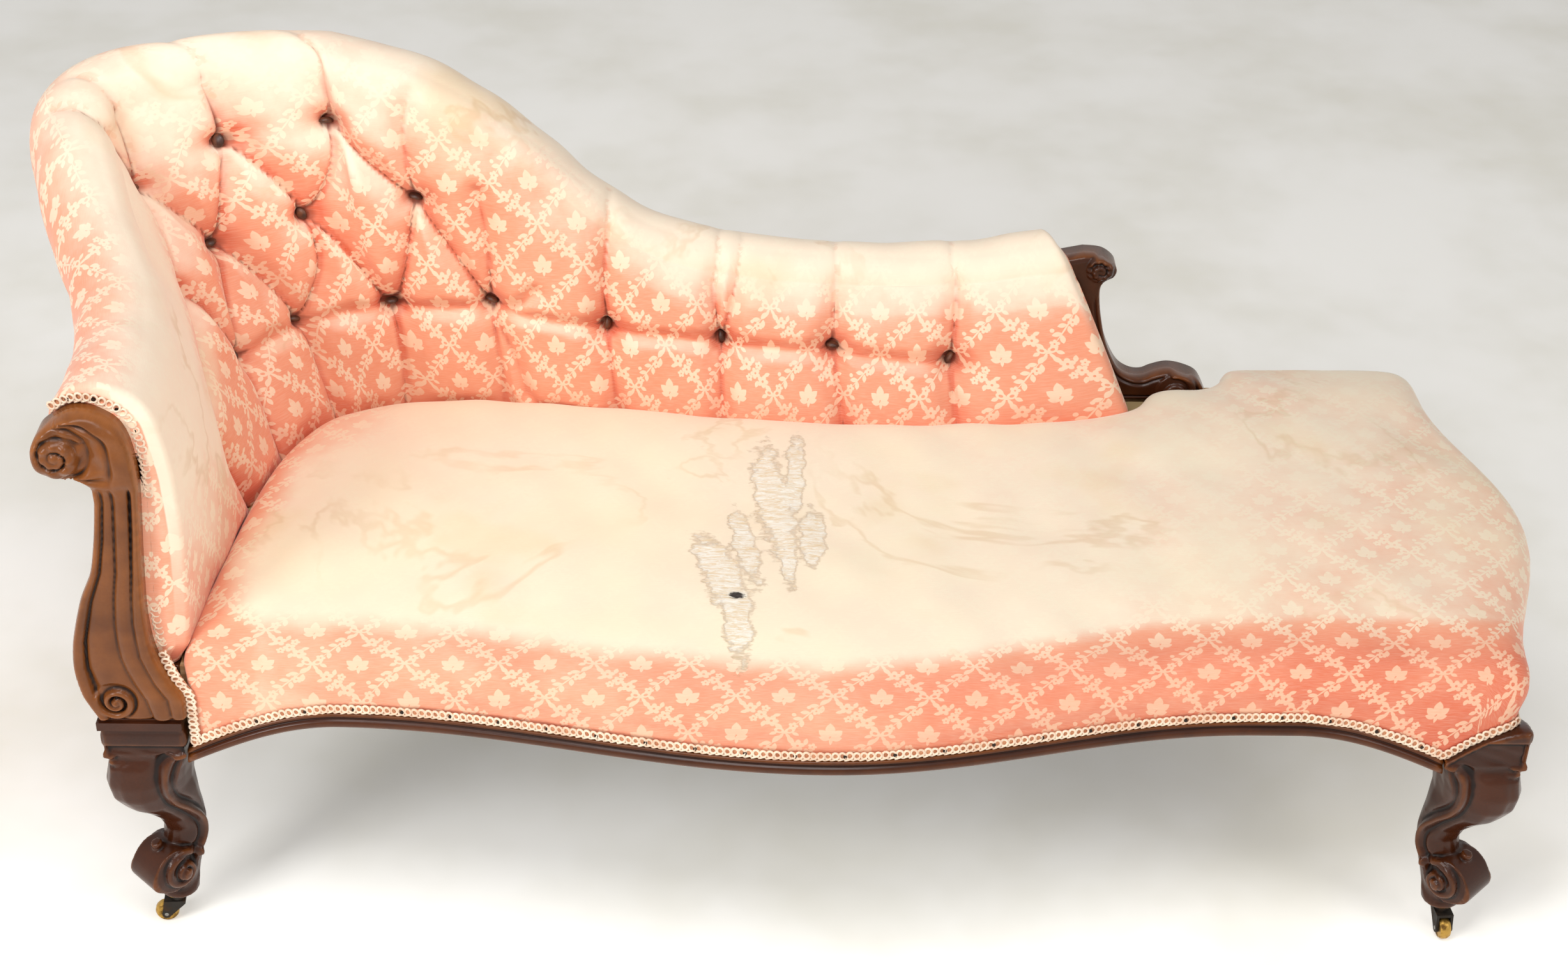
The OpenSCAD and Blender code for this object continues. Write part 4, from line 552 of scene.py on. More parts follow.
# Pleats run through buttons (numbers) and places (station, share up the cloth). Each has its depth at
# both ends in mm, and how much shallower it is halfway.
pleats = [([0, (6.10, 0.70), 4], 21, 21, 0.42), ([1, (6.98, 0.70), 4], 22, 22, 0.42), ([1, 5], 22, 22, 0.45),
          ([2, (8.25, 0.75), 5], 22, 22, 0.42), ([2, 6], 22, 22, 0.45), ([0, (5.42, 0.76), 3], 20, 20, 0.30),
          ([3, (5.10, 0.53), 7], 20, 20, 0.35), ([4, (5.68, 0.44), 7], 21, 20, 0.45), ([4, 8], 22, 22, 0.45),
          ([5, (7.70, 0.46), 8], 22, 22, 0.42), ([5, 9], 22, 22, 0.45), ([6, (9.32, 0.50), 9], 22, 22, 0.42),
          ([6, 10], 22, 22, 0.45), ([8, 9], 14, 14, 0.70), ([9, 10], 14, 14, 0.70), ([7, 8], 14, 14, 0.70),
          ([10, 11], 12, 12, 0.93), ([11, 12], 12, 12, 0.93), ([12, 13], 12, 12, 0.93), ([13, 14], 12, 12, 0.93),
          ([3, (4.10, 0.60), (3.35, 0.56), (3.00, 0.42), (3.15, 0.22), (3.40, 0.0)], 20, 14, 0.10),
          ([0, (5.80, 0.97), (5.66, 1.18), (5.60, 1.50)], 22, 9, 0.15),
          ([0, (6.14, 0.98), (6.24, 1.28), (6.26, 1.45)], 20, 7, 0.20),
          ([1, (7.34, 1.02), (7.42, 1.30), (7.44, 1.50)], 20, 7, 0.30),
          ([2, (8.50, 1.10), (8.54, 1.45)], 20, 7, 0.30),
          ([6, (9.75, 0.90), (9.95, 1.10)], 16, 2, 0.40), ([10, (10.58, 0.55), (10.66, 0.80)], 20, 2, 0.30),
          ([10, (10.9, 0.42), (11.3, 0.50)], 15, 2, 0.30), ([10, (10.05, 0.52), (9.75, 0.70)], 14, 2, 0.30),
          ([11, (12.74, 0.72), (12.98, 1.12), (13.02, 1.42)], 19, 4, 0.35),
          ([12, (14.46, 0.86), (14.56, 1.20), (14.58, 1.50)], 19, 4, 0.35),
          ([12, (14.66, 0.80), (14.78, 1.10), (14.84, 1.45)], 12, 4, 0.30),
          ([13, (15.70, 0.88), (15.72, 1.20), (15.70, 1.50)], 19, 4, 0.35),
          ([14, (16.92, 0.86), (16.90, 1.20), (16.88, 1.50)], 19, 4, 0.35),
          ([7, (4.95, 0.14), (4.75, 0.0)], 19, 8, 0.30), ([8, (6.92, 0.15), (6.62, 0.0)], 20, 8, 0.35),
          ([9, (8.64, 0.16), (8.46, 0.0)], 20, 8, 0.35), ([10, (10.36, 0.16), (10.26, 0.0)], 18, 6, 0.40),
          ([10, (10.66, 0.20), (10.74, 0.08)], 13, 2, 0.35), ([11, (12.63, 0.0)], 16, 6, 0.45),
          ([12, (14.45, 0.0)], 17, 7, 0.40), ([13, (15.78, 0.0)], 17, 7, 0.40), ([14, (16.90, 0.0)], 17, 7, 0.40)]
stuffing_z0, cloth_step, face_rows, roll_rows = 0.4018, 0.0034, 84, 56
face_spots, roll_spots, pit_depth, end_rings = 60, 45, 0.0258, 12


def face_out(s, z):
    top = s["top"] - s["r"]
    u = (z - tuck_z) / (top - tuck_z)
    return (back_reach(s) + s["over"] - 2 * s["r"]) * u - s["r"] * 0.16 * np.sin(np.pi * np.clip(u, 0, 1))


def back_section(s):
    """Distances and heights round the stuffing: up the face, over the roll, and back underneath."""
    reach, top, r = back_reach(s)[:, None], s["top"][:, None], s["r"][:, None]
    over = s["over"][:, None]
    wide = {k: v[:, None] for k, v in s.items()}
    z = stuffing_z0 + (top - r - stuffing_z0) * np.linspace(0, 1, face_spots)[None, :]
    d = face_out(wide, z)
    a = np.radians(np.linspace(180, -45, roll_spots + 1))[None, 1:]
    d = np.concatenate([d, reach + over - r + r * np.cos(a)], 1)
    z = np.concatenate([z, top - r + r * np.sin(a)], 1)
    return d, z


ts = np.linspace(0, last, 3001)
middle = station(ts)
knee = np.minimum(0.60, middle["top"] - middle["r"])
path = back_place(middle, face_out(middle, knee), knee)
run = lengths_along(path)
columns = int(run[-1] / cloth_step)
column_run = np.linspace(0, run[-1], columns)
column_t = np.interp(column_run, run, ts)
here = station(column_t)
d, z = back_section(here)
steps_up = np.hypot(np.diff(d, axis=1), np.diff(z, axis=1))
height_up = np.concatenate([np.zeros((columns, 1)), np.cumsum(steps_up, 1)], 1)
face_end = height_up[:, face_spots - 1]
rows = face_rows + roll_rows
share = np.concatenate([np.linspace(0, 1, face_rows, endpoint=False), np.linspace(1, 2, roll_rows)])
laid_up = np.where(share[None, :] < 1, share[None, :] * face_end[:, None],
                   face_end[:, None] + (share[None, :] - 1) * (height_up[:, -1] - face_end)[:, None])
D = np.stack([np.interp(laid_up[i], height_up[i], d[i]) for i in range(columns)])
Z = np.stack([np.interp(laid_up[i], height_up[i], z[i]) for i in range(columns)])
wide = {k: v[:, None] for k, v in here.items()}
skin = back_place(wide, D, Z)
laid_along = np.repeat(column_run[:, None], rows, 1)


def spot_on_cloth(t, z_share):
    i = np.interp(t, column_t, np.arange(columns))
    k = int(round(i))
    height = np.interp(z_share * head_height, Z[k, :face_rows], laid_up[k, :face_rows])
    return np.interp(t, column_t, column_run), height


def cloth_at(run_at, height_share):
    """Laid height at a share of the section: 1 is the top of the face, 2 the underside of the roll."""
    k = int(np.clip(round(np.interp(run_at, column_run, np.arange(columns))), 0, columns - 1))
    return float(np.interp(height_share, share, laid_up[k]))


spots = [spot_on_cloth(*b) for b in buttons_at]
depth, painted_shadow = np.zeros_like(D), np.zeros_like(D)
near = np.full_like(D, 1.0)


def hollow(off, reach):
    """1 in the valley, 0 beyond its reach, with the round flanks of stuffed cloth."""
    return 1 - np.sqrt(1 - (1 - np.clip(off / reach, 0, 1)) ** 2)


for stops, start, end, slack in pleats:
    line = [spots[k] if isinstance(k, int) else (float(np.interp(k[0], column_t, column_run)), 0) for k in stops]
    line = [p if isinstance(k, int) else (p[0], cloth_at(p[0], k[1])) for p, k in zip(line, stops)]
    line = np.array(line)
    if len(line) > 2:
        line = smooth_through(line, 5)
    lengths = lengths_along(line)
    off, along = np.full_like(D, 1.0), np.zeros_like(D)
    for i in range(len(line) - 1):
        (x0, y0), (x1, y1) = line[i], line[i + 1]
        ax, ay = x1 - x0, y1 - y0
        u = np.clip(((laid_along - x0) * ax + (laid_up - y0) * ay) / (ax * ax + ay * ay), 0, 1)
        part = np.hypot(laid_along - x0 - u * ax, laid_up - y0 - u * ay)
        closer = part < off
        along = np.where(closer, (lengths[i] + u * (lengths[i + 1] - lengths[i])) / lengths[-1], along)
        off = np.where(closer, part, off)
    strength = (start + (end - start) * along) / 1000 * (1 - slack * np.sin(np.pi * along) ** 0.7)
    depth = np.maximum(depth, strength * hollow(off, 0.012 + 1.35 * strength))
    # Painted shadow: a dark line along the pleat's valley
    painted_shadow = np.maximum(painted_shadow, np.clip(strength / 0.010, 0, 1) * np.exp(-(off / 0.0030) ** 2))
    near = np.minimum(near, off / (0.35 + 0.65 * strength / 0.019))
pit = np.zeros_like(D)
for x, y in spots:
    off = np.hypot(laid_along - x, laid_up - y)
    pit = np.maximum(pit, pit_depth * hollow(np.maximum(off - 0.0085, 0), 0.040))
    # Painted shadow: a dark patch in each button's pit
    painted_shadow = np.maximum(painted_shadow, 0.85 * np.exp(-(off / 0.0125) ** 4))
    near = np.minimum(near, off)
sunk = np.minimum((pit ** 2.4 + depth ** 2.4) ** (1 / 2.4), pit_depth)
button_area = np.clip((1.25 - share[None, :]) / 0.45, 0, 1) * np.clip(share[None, :] / 0.08, 0, 1)
plump = 0.0115 * (1 - np.exp(-(near / 0.030) ** 2)) * button_area
along_u = np.gradient(skin, axis=0)
along_v = np.gradient(skin, axis=1)
normal = directions(np.cross(along_u, along_v))
inward_test = skin[columns // 2, 20] + normal[columns // 2, 20] * 0.05
if inward_test[1] > skin[columns // 2, 20][1]:
    normal = -normal
seeded = np.random.default_rng(7)
lumps = np.zeros_like(D)
for k in range(26):
    fx, fy, phase = seeded.uniform(2, 11), seeded.uniform(2, 11), seeded.uniform(0, 6.28)
    lumps += np.sin(6.28 * (fx * laid_along * seeded.choice([-1, 1]) + fy * laid_up) + phase) / 26
end_near = np.minimum(column_run, column_run[-1] - column_run)[:, None]
# The ends are rounded over, as cloth pulled round a stuffed edge
edge_r = 0.013
rounding = edge_r - np.sqrt(np.maximum(edge_r ** 2 - np.maximum(edge_r - end_near, 0) ** 2, 0))
face_up = normal[..., 2].copy()
# Pleats and buttons are drawn straight into the back, and on the roll towards its middle
inward = np.stack([(here["fx"] - here["x"]) / back_reach(here) - here["slant"],
                   (here["fy"] - here["y"]) / back_reach(here), np.zeros(columns)], -1)[:, None, :]
on_face = np.clip((1.15 - share) / 0.3, 0, 1)[None, :, None]
drawn = inward * on_face - normal * (1 - on_face)
raised_by = plump * np.clip(1 - sunk / 0.02, 0, 1) + 0.006 * lumps - rounding
skin = skin + normal * raised_by[..., None] + drawn * sunk[..., None]
settled = directions(np.cross(np.gradient(skin, axis=0), np.gradient(skin, axis=1)))
settled = settled if np.sum(settled * normal) > 0 else -settled
turned_up = settled[..., 2] - face_up
# The cloth is drawn in where it meets the seat, and behind the roll where it is tacked
skin[:, :4, 2] = np.minimum(skin[:, :4, 2], stuffing_z0 + 0.004 * np.arange(4)[None, :])

# The hidden side: under the roll, down the front of the webbing, and along the bottom
line = here["top"] - here["r"] * 1.45
n_reach = back_reach(here)
run_x, run_y = here["fx"] - here["x"], here["fy"] - here["y"]
nx, ny = run_x / n_reach, run_y / n_reach
head_face = -0.8006
to_head = np.where(nx < 0, (here["x"] - head_face) / np.maximum(-nx, 1e-9), n_reach)
to_rear = np.where(ny > 0, (rear_face - here["y"]) / np.maximum(ny, 1e-9), n_reach * 2)
foot_d = np.minimum(to_head, to_rear)
gap = 0.0299
hidden = [(n_reach + 0.006, line + 0.0008), (n_reach - gap, line + 0.0008)]
for k in range(1, 7):
    z_here = line + (stuffing_z0 - line) * k / 6
    d_here = foot_d + (n_reach - foot_d) * np.clip((z_here - rail_top) / (line - rail_top), 0, 1) - gap
    hidden.append((d_here, z_here))
hidden.append((hidden[-1][0] * 0.5, hidden[-1][1]))
behind = np.stack([back_place(here, a, b) for a, b in hidden], 1)
loops = np.concatenate([skin, behind], 1)
around = loops.shape[1]
points = loops.reshape(-1, 3)
laid_u = np.concatenate([laid_along, np.repeat(column_run[:, None], len(hidden), 1)], 1).ravel()
laid_v = np.concatenate([laid_up, laid_up[:, -1:] + 0.01 * np.arange(1, len(hidden) + 1)[None, :]], 1).ravel()
index = np.arange(columns * around).reshape(columns, around)
after = np.roll(index, -1, 1)
faces = np.stack([index[:-1], after[:-1], after[1:], index[1:]], -1).reshape(-1, 4)
# Each end is closed by rings that draw in to the middle of its section
points, laid_u, laid_v, faces = [points], [laid_u], [laid_v], [faces]
count = columns * around
for ring, sign in ((0, -1), (columns - 1, 1)):
    edge = loops[ring]
    z_edge = edge[:, 2]
    centre = np.empty_like(edge)
    for j in range(around):
        z_j = np.clip(z_edge[j], stuffing_z0 + 0.02, here["top"][ring] - here["r"][ring])
        inner = float(face_out({k: v[ring] for k, v in here.items()}, z_j))
        outer = float(foot_d[ring] + (n_reach[ring] - foot_d[ring])
                      * np.clip((z_j - rail_top) / (line[ring] - rail_top), 0, 1) - gap)
        outer = max(outer, n_reach[ring] + here["over"][ring] - here["r"][ring]) if z_j > line[ring] else outer
        centre[j] = back_place({k: np.array(v[ring]) for k, v in here.items()}, np.array((inner + outer) / 2),
                               np.array(z_j))
    previous = index[ring]
    for k in range(1, end_rings + 1):
        pull = k / end_rings
        ring_points = edge * (1 - pull) + centre * pull
        bulge = 0.004 * math.sin(math.pi * min(pull, 0.5))
        ring_points[:, 1 if ring == 0 else 0] += sign * bulge
        points.append(ring_points)
        laid_u.append(column_run[ring] + sign * (np.abs(ring_points[:, 0] - edge[:, 0]) + 0.004 * k / end_rings))
        laid_v.append(ring_points[:, 2] - stuffing_z0)
        fresh = np.arange(count, count + around)
        count += around
        quads = np.stack([previous, np.roll(previous, -1), np.roll(fresh, -1), fresh], -1)
        faces.append(quads if ring else quads[:, ::-1])
        previous = fresh
points, laid_u, laid_v = np.concatenate(points), np.concatenate(laid_u), np.concatenate(laid_v)
back_stuffing = mesh_piece("back_cover", points, np.concatenate(faces))
give_map(back_stuffing, laid_u, laid_v)
# How far the sun has bleached each station's cloth, from its foot, over the roll, to the underside
sun_rows = {0: [0.20, 0.45, 0.75, 0.90, 0.85, 0.55, 0.30, 0.35],
            2.6: [0.25, 0.55, 0.85, 0.98, 0.95, 0.50, 0.25, 0.30],
            3.4: [0.0, 0.16, 0.50, 0.85, 0.90, 0.50, 0.25, 0.30],
            6: [0.0, 0.12, 0.36, 0.72, 0.80, 0.62, 0.45, 0.40],
            8.5: [0.0, 0.08, 0.30, 0.62, 0.80, 0.74, 0.60, 0.50],
            10: [0.0, 0.05, 0.22, 0.55, 0.78, 0.85, 0.80, 0.60],
            12.6: [0.0, 0.05, 0.16, 0.42, 0.72, 0.90, 0.90, 0.60],
            14: [0.0, 0.06, 0.24, 0.66, 0.88, 1.00, 0.90, 0.60],
            19: [0.0, 0.06, 0.26, 0.74, 0.92, 1.00, 0.90, 0.60]}
at_share = [0.0, 0.35, 0.65, 0.95, 1.2, 1.45, 1.7, 2.0]
keys = sorted(sun_rows)
sun_table = np.array([sun_rows[k] for k in keys])
sun_columns = np.stack([np.interp(column_t, keys, sun_table[:, k]) for k in range(len(at_share))], 1)
sun = np.stack([np.interp(share, at_share, sun_columns[i]) for i in range(columns)])
# Cloth turned up on the pillows is paler, and cloth sunk in pleats and pits stays coral: partly sun fading, partly
# painted light on the pillow tops and painted shade in the hollows
sun = np.clip(sun + 0.85 * turned_up * button_area - 18 * np.maximum(sunk - 0.004, 0), 0, 1)
sun_all = np.full(len(points), 0.35)
sun_all[:columns * around] = np.concatenate([sun, np.full((columns, len(hidden)), 0.4)], 1).ravel()
deep_all = np.zeros(len(points))
# The deep mark: deeper coral in pleats and pits, on down-turned cloth and low on the face where it meets the seat,
# partly unfaded cloth and partly painted shade; above 1 it adds the painted shadow of the pleat lines and button
# pits
low_line = np.clip(1 - laid_up / 0.07, 0, 1)
shade = np.clip(sunk / 0.015 + 0.75 * low_line - 0.08 - 1.1 * np.minimum(turned_up, 0.4), 0, 1) + painted_shadow
deep_all[:columns * around] = np.concatenate([shade, np.zeros((columns, len(hidden)))], 1).ravel()
give_number(back_stuffing, "sun", sun_all)
give_number(back_stuffing, "deep", deep_all)
# The woven figure's repeat, across and up, in metres
back_repeat = (0.096, 0.110)
back_stuffing.data.materials.append(brocade_finish("brocade on the back", *back_repeat))
rides_on_couch(back_stuffing, "brocade", "back_upholstery")


# Seat upholstery: a stuffed, sprung seat with a crowned top. The brocade is
# drawn over its edge and tacked to the show-wood under the gimp. The middle
# is worn through to the wadding, with one burnt hole.
def loose_copy(name, node, voxel):
    """A welded copy of a solid, with an even net of faces."""
    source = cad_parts[node]
    data = source.data.copy()
    data.name = name
    data.materials.clear()
    body = bmesh.new()
    body.from_mesh(data)
    bmesh.ops.remove_doubles(body, verts=body.verts, dist=1e-6)
    body.to_mesh(data)
    body.free()
    piece = link(bpy.data.objects.new(name, data))
    remesh = piece.modifiers.new("net", "REMESH")
    remesh.mode, remesh.voxel_size, remesh.adaptivity = "VOXEL", voxel, 0.0
    return baked(piece)


def baked(piece):
    """The piece with its modifiers worked in."""
    seen = piece.evaluated_get(bpy.context.evaluated_depsgraph_get())
    data = bpy.data.meshes.new_from_object(seen)
    old = piece.data
    piece.modifiers.clear()
    piece.data = data
    data.name = piece.name
    bpy.data.meshes.remove(old)
    data.polygons.foreach_set("use_smooth", [True] * len(data.polygons))
    return piece


def places(piece, what="co"):
    """Each vertex's place, or its normal."""
    flat_list = np.zeros(len(piece.data.vertices) * 3)
    piece.data.vertices.foreach_get(what, flat_list)
    return flat_list.reshape(-1, 3)


def place_all(piece, points):
    piece.data.vertices.foreach_set("co", np.asarray(points, np.float32).ravel())
    piece.data.update()


def relax(points, edges, turns, share=0.5, free=None):
    """Draws each point towards the mean of its neighbours, as taut cloth does."""
    n = len(points)
    count = np.bincount(edges.ravel(), minlength=n)[:, None].astype(float)
    free = np.ones(n) if free is None else free
    for _ in range(turns):
        total = np.zeros_like(points)
        for axis in range(3):
            total[:, axis] = (np.bincount(edges[:, 0], points[edges[:, 1], axis], n)
                              + np.bincount(edges[:, 1], points[edges[:, 0], axis], n))
        points = points + (total / np.maximum(count, 1) - points) * (share * free)[:, None]
    return points


def edge_list(piece):
    pairs = np.zeros(len(piece.data.edges) * 2, np.int32)
    piece.data.edges.foreach_get("vertices", pairs)
    return pairs.reshape(-1, 2)


seat = loose_copy("seat_cover", "seat_upholstery", 0.005)
points = places(seat)
edges = edge_list(seat)
upper = np.clip((points[:, 2] - 0.405) / 0.016, 0, 1)
points = relax(points, edges, 60, 0.5, upper)
points = relax(points, edges, 6, 0.5, np.clip((points[:, 2] - 0.30) / 0.02, 0, 1) * 0.6)


def swell(place, reach):
    """The bow of a serpentine edge: 1 at its middle, 0 from its reach on."""
    return np.where(np.abs(place / reach) < 1, (1 + np.cos(np.pi * place / reach)) / 2, 0)


def front_line(x):
    return front_face - 0.078 * swell(x - 0.010, np.where(x < 0.010, 0.570, 0.490))


def foot_line(y):
    return 0.791 + 0.064 * swell(y + 0.012, 0.290)


cx, cy = points[:, 0] - shift[0], points[:, 1] - shift[1]
past_front = cy - (front_line(cx) + 0.010)
past_foot = (foot_line(cy) - 0.010) - cx
drop = np.maximum(0.440 - points[:, 2], 0)
to_front = np.clip(1 - past_front / 0.03, 0, 1)
to_foot = np.clip(1 - past_foot / 0.03, 0, 1)
total = np.maximum(to_front + to_foot, 1)
laid_u = points[:, 0] + drop * to_foot / total
laid_v = points[:, 1] - drop * to_front / total
give_map(seat, laid_u, laid_v)
# Small pulls and hollows: a sagging middle, drag lines along the front border
rng = np.random.default_rng(11)
place_all(seat, points)
normals = places(seat, "normal")
ripple = np.zeros(len(points))
for k in range(40):
    angle, size, phase = rng.uniform(0, 3.14), rng.uniform(3, 13), rng.uniform(0, 6.28)
    ripple += np.sin(6.28 * size * (np.cos(angle) * points[:, 0] + np.sin(angle) * points[:, 1]) + phase) / 40
top_share = np.clip((points[:, 2] - 0.425) / 0.01, 0, 1)
lift = 0.010 * ripple * top_share
lift -= 0.010 * np.exp(-((cx - 0.05) / 0.30) ** 2 - ((cy + 0.05) / 0.16) ** 2) * top_share
band = np.clip(1 - np.abs(past_front) / 0.04, 0, 1) * (points[:, 2] > 0.33)
drag = np.zeros(len(points))
for k in range(9):
    x0, z0, slope = rng.uniform(-0.35, 0.60), rng.uniform(0.352, 0.392), rng.uniform(-0.05, 0.05)
    length = rng.uniform(0.10, 0.26)
    off = points[:, 2] - z0 - slope * (cx - x0)
    drag += np.exp(-(off / 0.0042) ** 2) * np.exp(-((cx - x0) / length) ** 2) * rng.choice([-1.0, 0.8])
lift += 0.0028 * drag * band
points = points + normals * lift[:, None]
place_all(seat, points)
up_border = points[:, 2] - 0.31 + np.maximum(past_front, 0) * 0.9
sun = 0.98 - np.interp(cx, [-0.5, 0.3], [0.66, 0.97]) * np.clip((0.178 - up_border) / 0.05, 0, 1)
right_side = np.clip((cx - 0.16) / 0.62, 0, 1)
# Less bleached, so more coral and darker, towards the right, its front border and the foot end: painted shade where
# the seat turns from the light
sun -= 0.26 * np.clip((cx - 0.05) / 0.45, 0, 1)
sun -= 0.17 * right_side * np.clip(1.20 - (past_front - 0.01) / (0.09 + 0.30 * right_side), 0, 1)
sun -= 0.08 * np.clip(1 - past_foot / 0.09, 0, 1) * np.clip(1 - (cy - 0.10) / 0.25, 0, 1)
back_near = np.hypot(np.maximum(cx + 0.66, 0) / 0.20, np.maximum(0.20 - cy, 0) / 0.30)
sun -= 0.75 * np.clip(1 - back_near, 0, 1) ** 1.2
sun -= 0.85 * np.clip(1 - (cx + 0.70) / 0.07, 0, 1)
# The deep mark: deeper coral on the front border, most to the right, partly unfaded cloth and partly painted shade;
# painted shade along the border's foot, in the corner by the back and in the hollows of the drag lines
on_border = np.clip((0.165 - up_border) / 0.05, 0, 1)
deep = on_border * np.interp(cx, [-0.7, 0.1, 0.35, 0.7], [0.30, 0.38, 0.58, 0.66])
deep += 0.30 * np.clip(1 - (points[:, 2] - 0.30) / 0.05, 0, 1) * np.clip(1 - past_front / 0.04, 0, 1)
deep += 0.5 * np.clip(1 - back_near * 2.6, 0, 1) + 0.3 * np.maximum(-drag, 0) * band
give_number(seat, "sun", np.clip(sun, 0, 1))
give_number(seat, "deep", np.clip(deep, 0, 1))
# Rents in the middle of the seat, each as x, y, lean, length and width
rents = [(-0.074, -0.160, 107, 0.15, 0.048), (-0.053, -0.245, 93, 0.14, 0.032),
         (-0.046, -0.100, 100, 0.16, 0.026), (-0.010, -0.015, 97, 0.24, 0.044),
         (0.006, -0.140, 92, 0.09, 0.020), (0.015, 0.045, 88, 0.18, 0.022), (0.034, -0.080, 90, 0.12, 0.030)]
rent = np.full(len(points), 3.0)
for x, y, lean, length, width in rents:
    c, s = math.cos(math.radians(lean)), math.sin(math.radians(lean))
    along = ((points[:, 0] - x) * c + (points[:, 1] - y) * s) / (length / 2)
    off = ((points[:, 1] - y) * c - (points[:, 0] - x) * s) / (width / 2)
    rent = np.minimum(rent, np.hypot(along, off))
give_number(seat, "rent", np.where(points[:, 2] > 0.42, rent, 3.0))
burnt = np.hypot((points[:, 0] + 0.054) / 0.011, (points[:, 1] + 0.204) / 0.0075)
give_number(seat, "burnt", np.minimum(burnt, 4))


def worn_through(tree, place, colour, height):
    """Down to ivory wadding with a ragged rim, and a small burnt hole."""
    yellowed = steps(tree, noise(tree, place, 3.6, 3.0, 0.6), 0.30, 0.70, 0.10, 0.55)
    bleached = marked(tree, "sun")
    colour = blend(tree, sums(tree, "MULTIPLY", yellowed, bleached), colour, in_light("FFF4D0"))
    ragged = noise(tree, place, 34.0, 3.0, 0.7)
    rent = marked(tree, "rent")
    fibres = noise(tree, stretched(tree, place, (60, 300, 1)), 1.0, 4.0, 0.75, 1.0)
    rent = sums(tree, "MULTIPLY_ADD", ragged, 1.7, sums(tree, "SUBTRACT", rent, 0.85))
    rent = sums(tree, "MULTIPLY_ADD", fibres, 0.9, sums(tree, "SUBTRACT", rent, 0.45))
    open_part = steps(tree, rent, 1.05, 0.92)
    rim = sums(tree, "MULTIPLY", steps(tree, rent, 1.16, 1.02), steps(tree, rent, 0.86, 0.98))
    wadding = blend(tree, steps(tree, fibres, 0.35, 0.62), in_light("EBD2AC"), in_light("FFFAEE"))
    colour = blend(tree, sums(tree, "MULTIPLY", open_part, 0.95), colour, wadding)
    frayed = sums(tree, "MULTIPLY", sums(tree, "MULTIPLY", rim, fibres), 0.55)
    colour = blend(tree, frayed, colour, in_light("C29560"))
    hole = marked(tree, "burnt")
    hole = sums(tree, "MULTIPLY_ADD", fibres, 2.4, sums(tree, "SUBTRACT", hole, 1.1))
    colour = blend(tree, steps(tree, hole, 1.1, 0.8), colour, in_light("1A120D"))
    height = sums(tree, "MULTIPLY_ADD", open_part, sums(tree, "MULTIPLY_ADD", fibres, 3.2, -2.6), height)
    return colour, sums(tree, "MULTIPLY_ADD", rim, 1.0, height)


seat_repeat = (0.106, 0.108)
seat.data.materials.append(brocade_finish("brocade on the seat", *seat_repeat, worn_through))
rides_on_couch(seat, "brocade", "seat_upholstery")


# Arm facing: an S-shaped mahogany board with four carved reeds. A leaf runs
# over its head and curls into a scroll, and the outer reed ends in a small volute.

# The mahogany is polished, and red-brown with a fine ribbon grain. Its raised edges are golden, partly worn by
# handling and partly painted highlight, and its carving is dark, partly with old polish and dust and partly painted
# shade.
def mahogany_finish(name, run, light="4E2610", dark="1A0B05", worn="80481F"):
    finish, tree, shader = new_finish(name, Roughness=0.26, Coat_Weight=0.07, Coat_Roughness=0.12)
    shader.inputs["Specular IOR Level"].default_value = 0.22
    place = object_place(tree)
    woody = placed_group(tree, grain, {"Place": stretched(tree, place, (1, 1, 1), (0, 0, 0), run)})
    colour = blend(tree, woody.outputs["Rings"], in_light(dark), in_light(light))
    colour = blend(tree, sums(tree, "MULTIPLY", woody.outputs["Fibres"], 0.35), colour, in_light("5A2A14"))
    colour = blend(tree, steps(tree, noise(tree, place, 9.0, 3.0, 0.6), 0.35, 0.75, 0.0, 0.55), colour,
                   in_light("250F07"))
    raised = marked(tree, "raised")
    patchy = noise(tree, place, 30.0, 3.0, 0.7)
    # Golden on raised edges: partly wear from handling, partly painted highlight
    edge = sums(tree, "MULTIPLY", steps(tree, raised, 0.10, 0.85), steps(tree, patchy, 0.25, 0.62, 0.35, 1.0))
    colour = blend(tree, sums(tree, "MULTIPLY", edge, 0.62), colour, in_light(worn))
    # Near black in grooves: partly old polish and dust, partly painted shade
    groove_dust_and_shade = steps(tree, raised, -0.03, -0.45)
    colour = blend(tree, sums(tree, "MULTIPLY", groove_dust_and_shade, 0.94), colour, in_light("120705"))
    tree.links.new(colour, shader.inputs["Base Color"])
    tree.links.new(sums(tree, "MULTIPLY_ADD", groove_dust_and_shade, 0.30, sums(tree, "MULTIPLY_ADD", patchy, 0.10, 0.20)),
                   shader.inputs["Roughness"])
    ribbons = stretched(tree, place, (90, 90, 700), (0, 0, 0), run)
    emboss(tree, shader, 0.16, 0.0008, noise(tree, ribbons, 1.0, 3.0, 0.6))
    return finish


upright, along_x, along_y = (0, 0, 0), (0, math.radians(90), 0), (math.radians(90), 0, 0)
mahogany = mahogany_finish("mahogany, upright", upright)
mahogany_long = mahogany_finish("mahogany, along the couch", along_x)
mahogany_across = mahogany_finish("mahogany, across the couch", along_y)


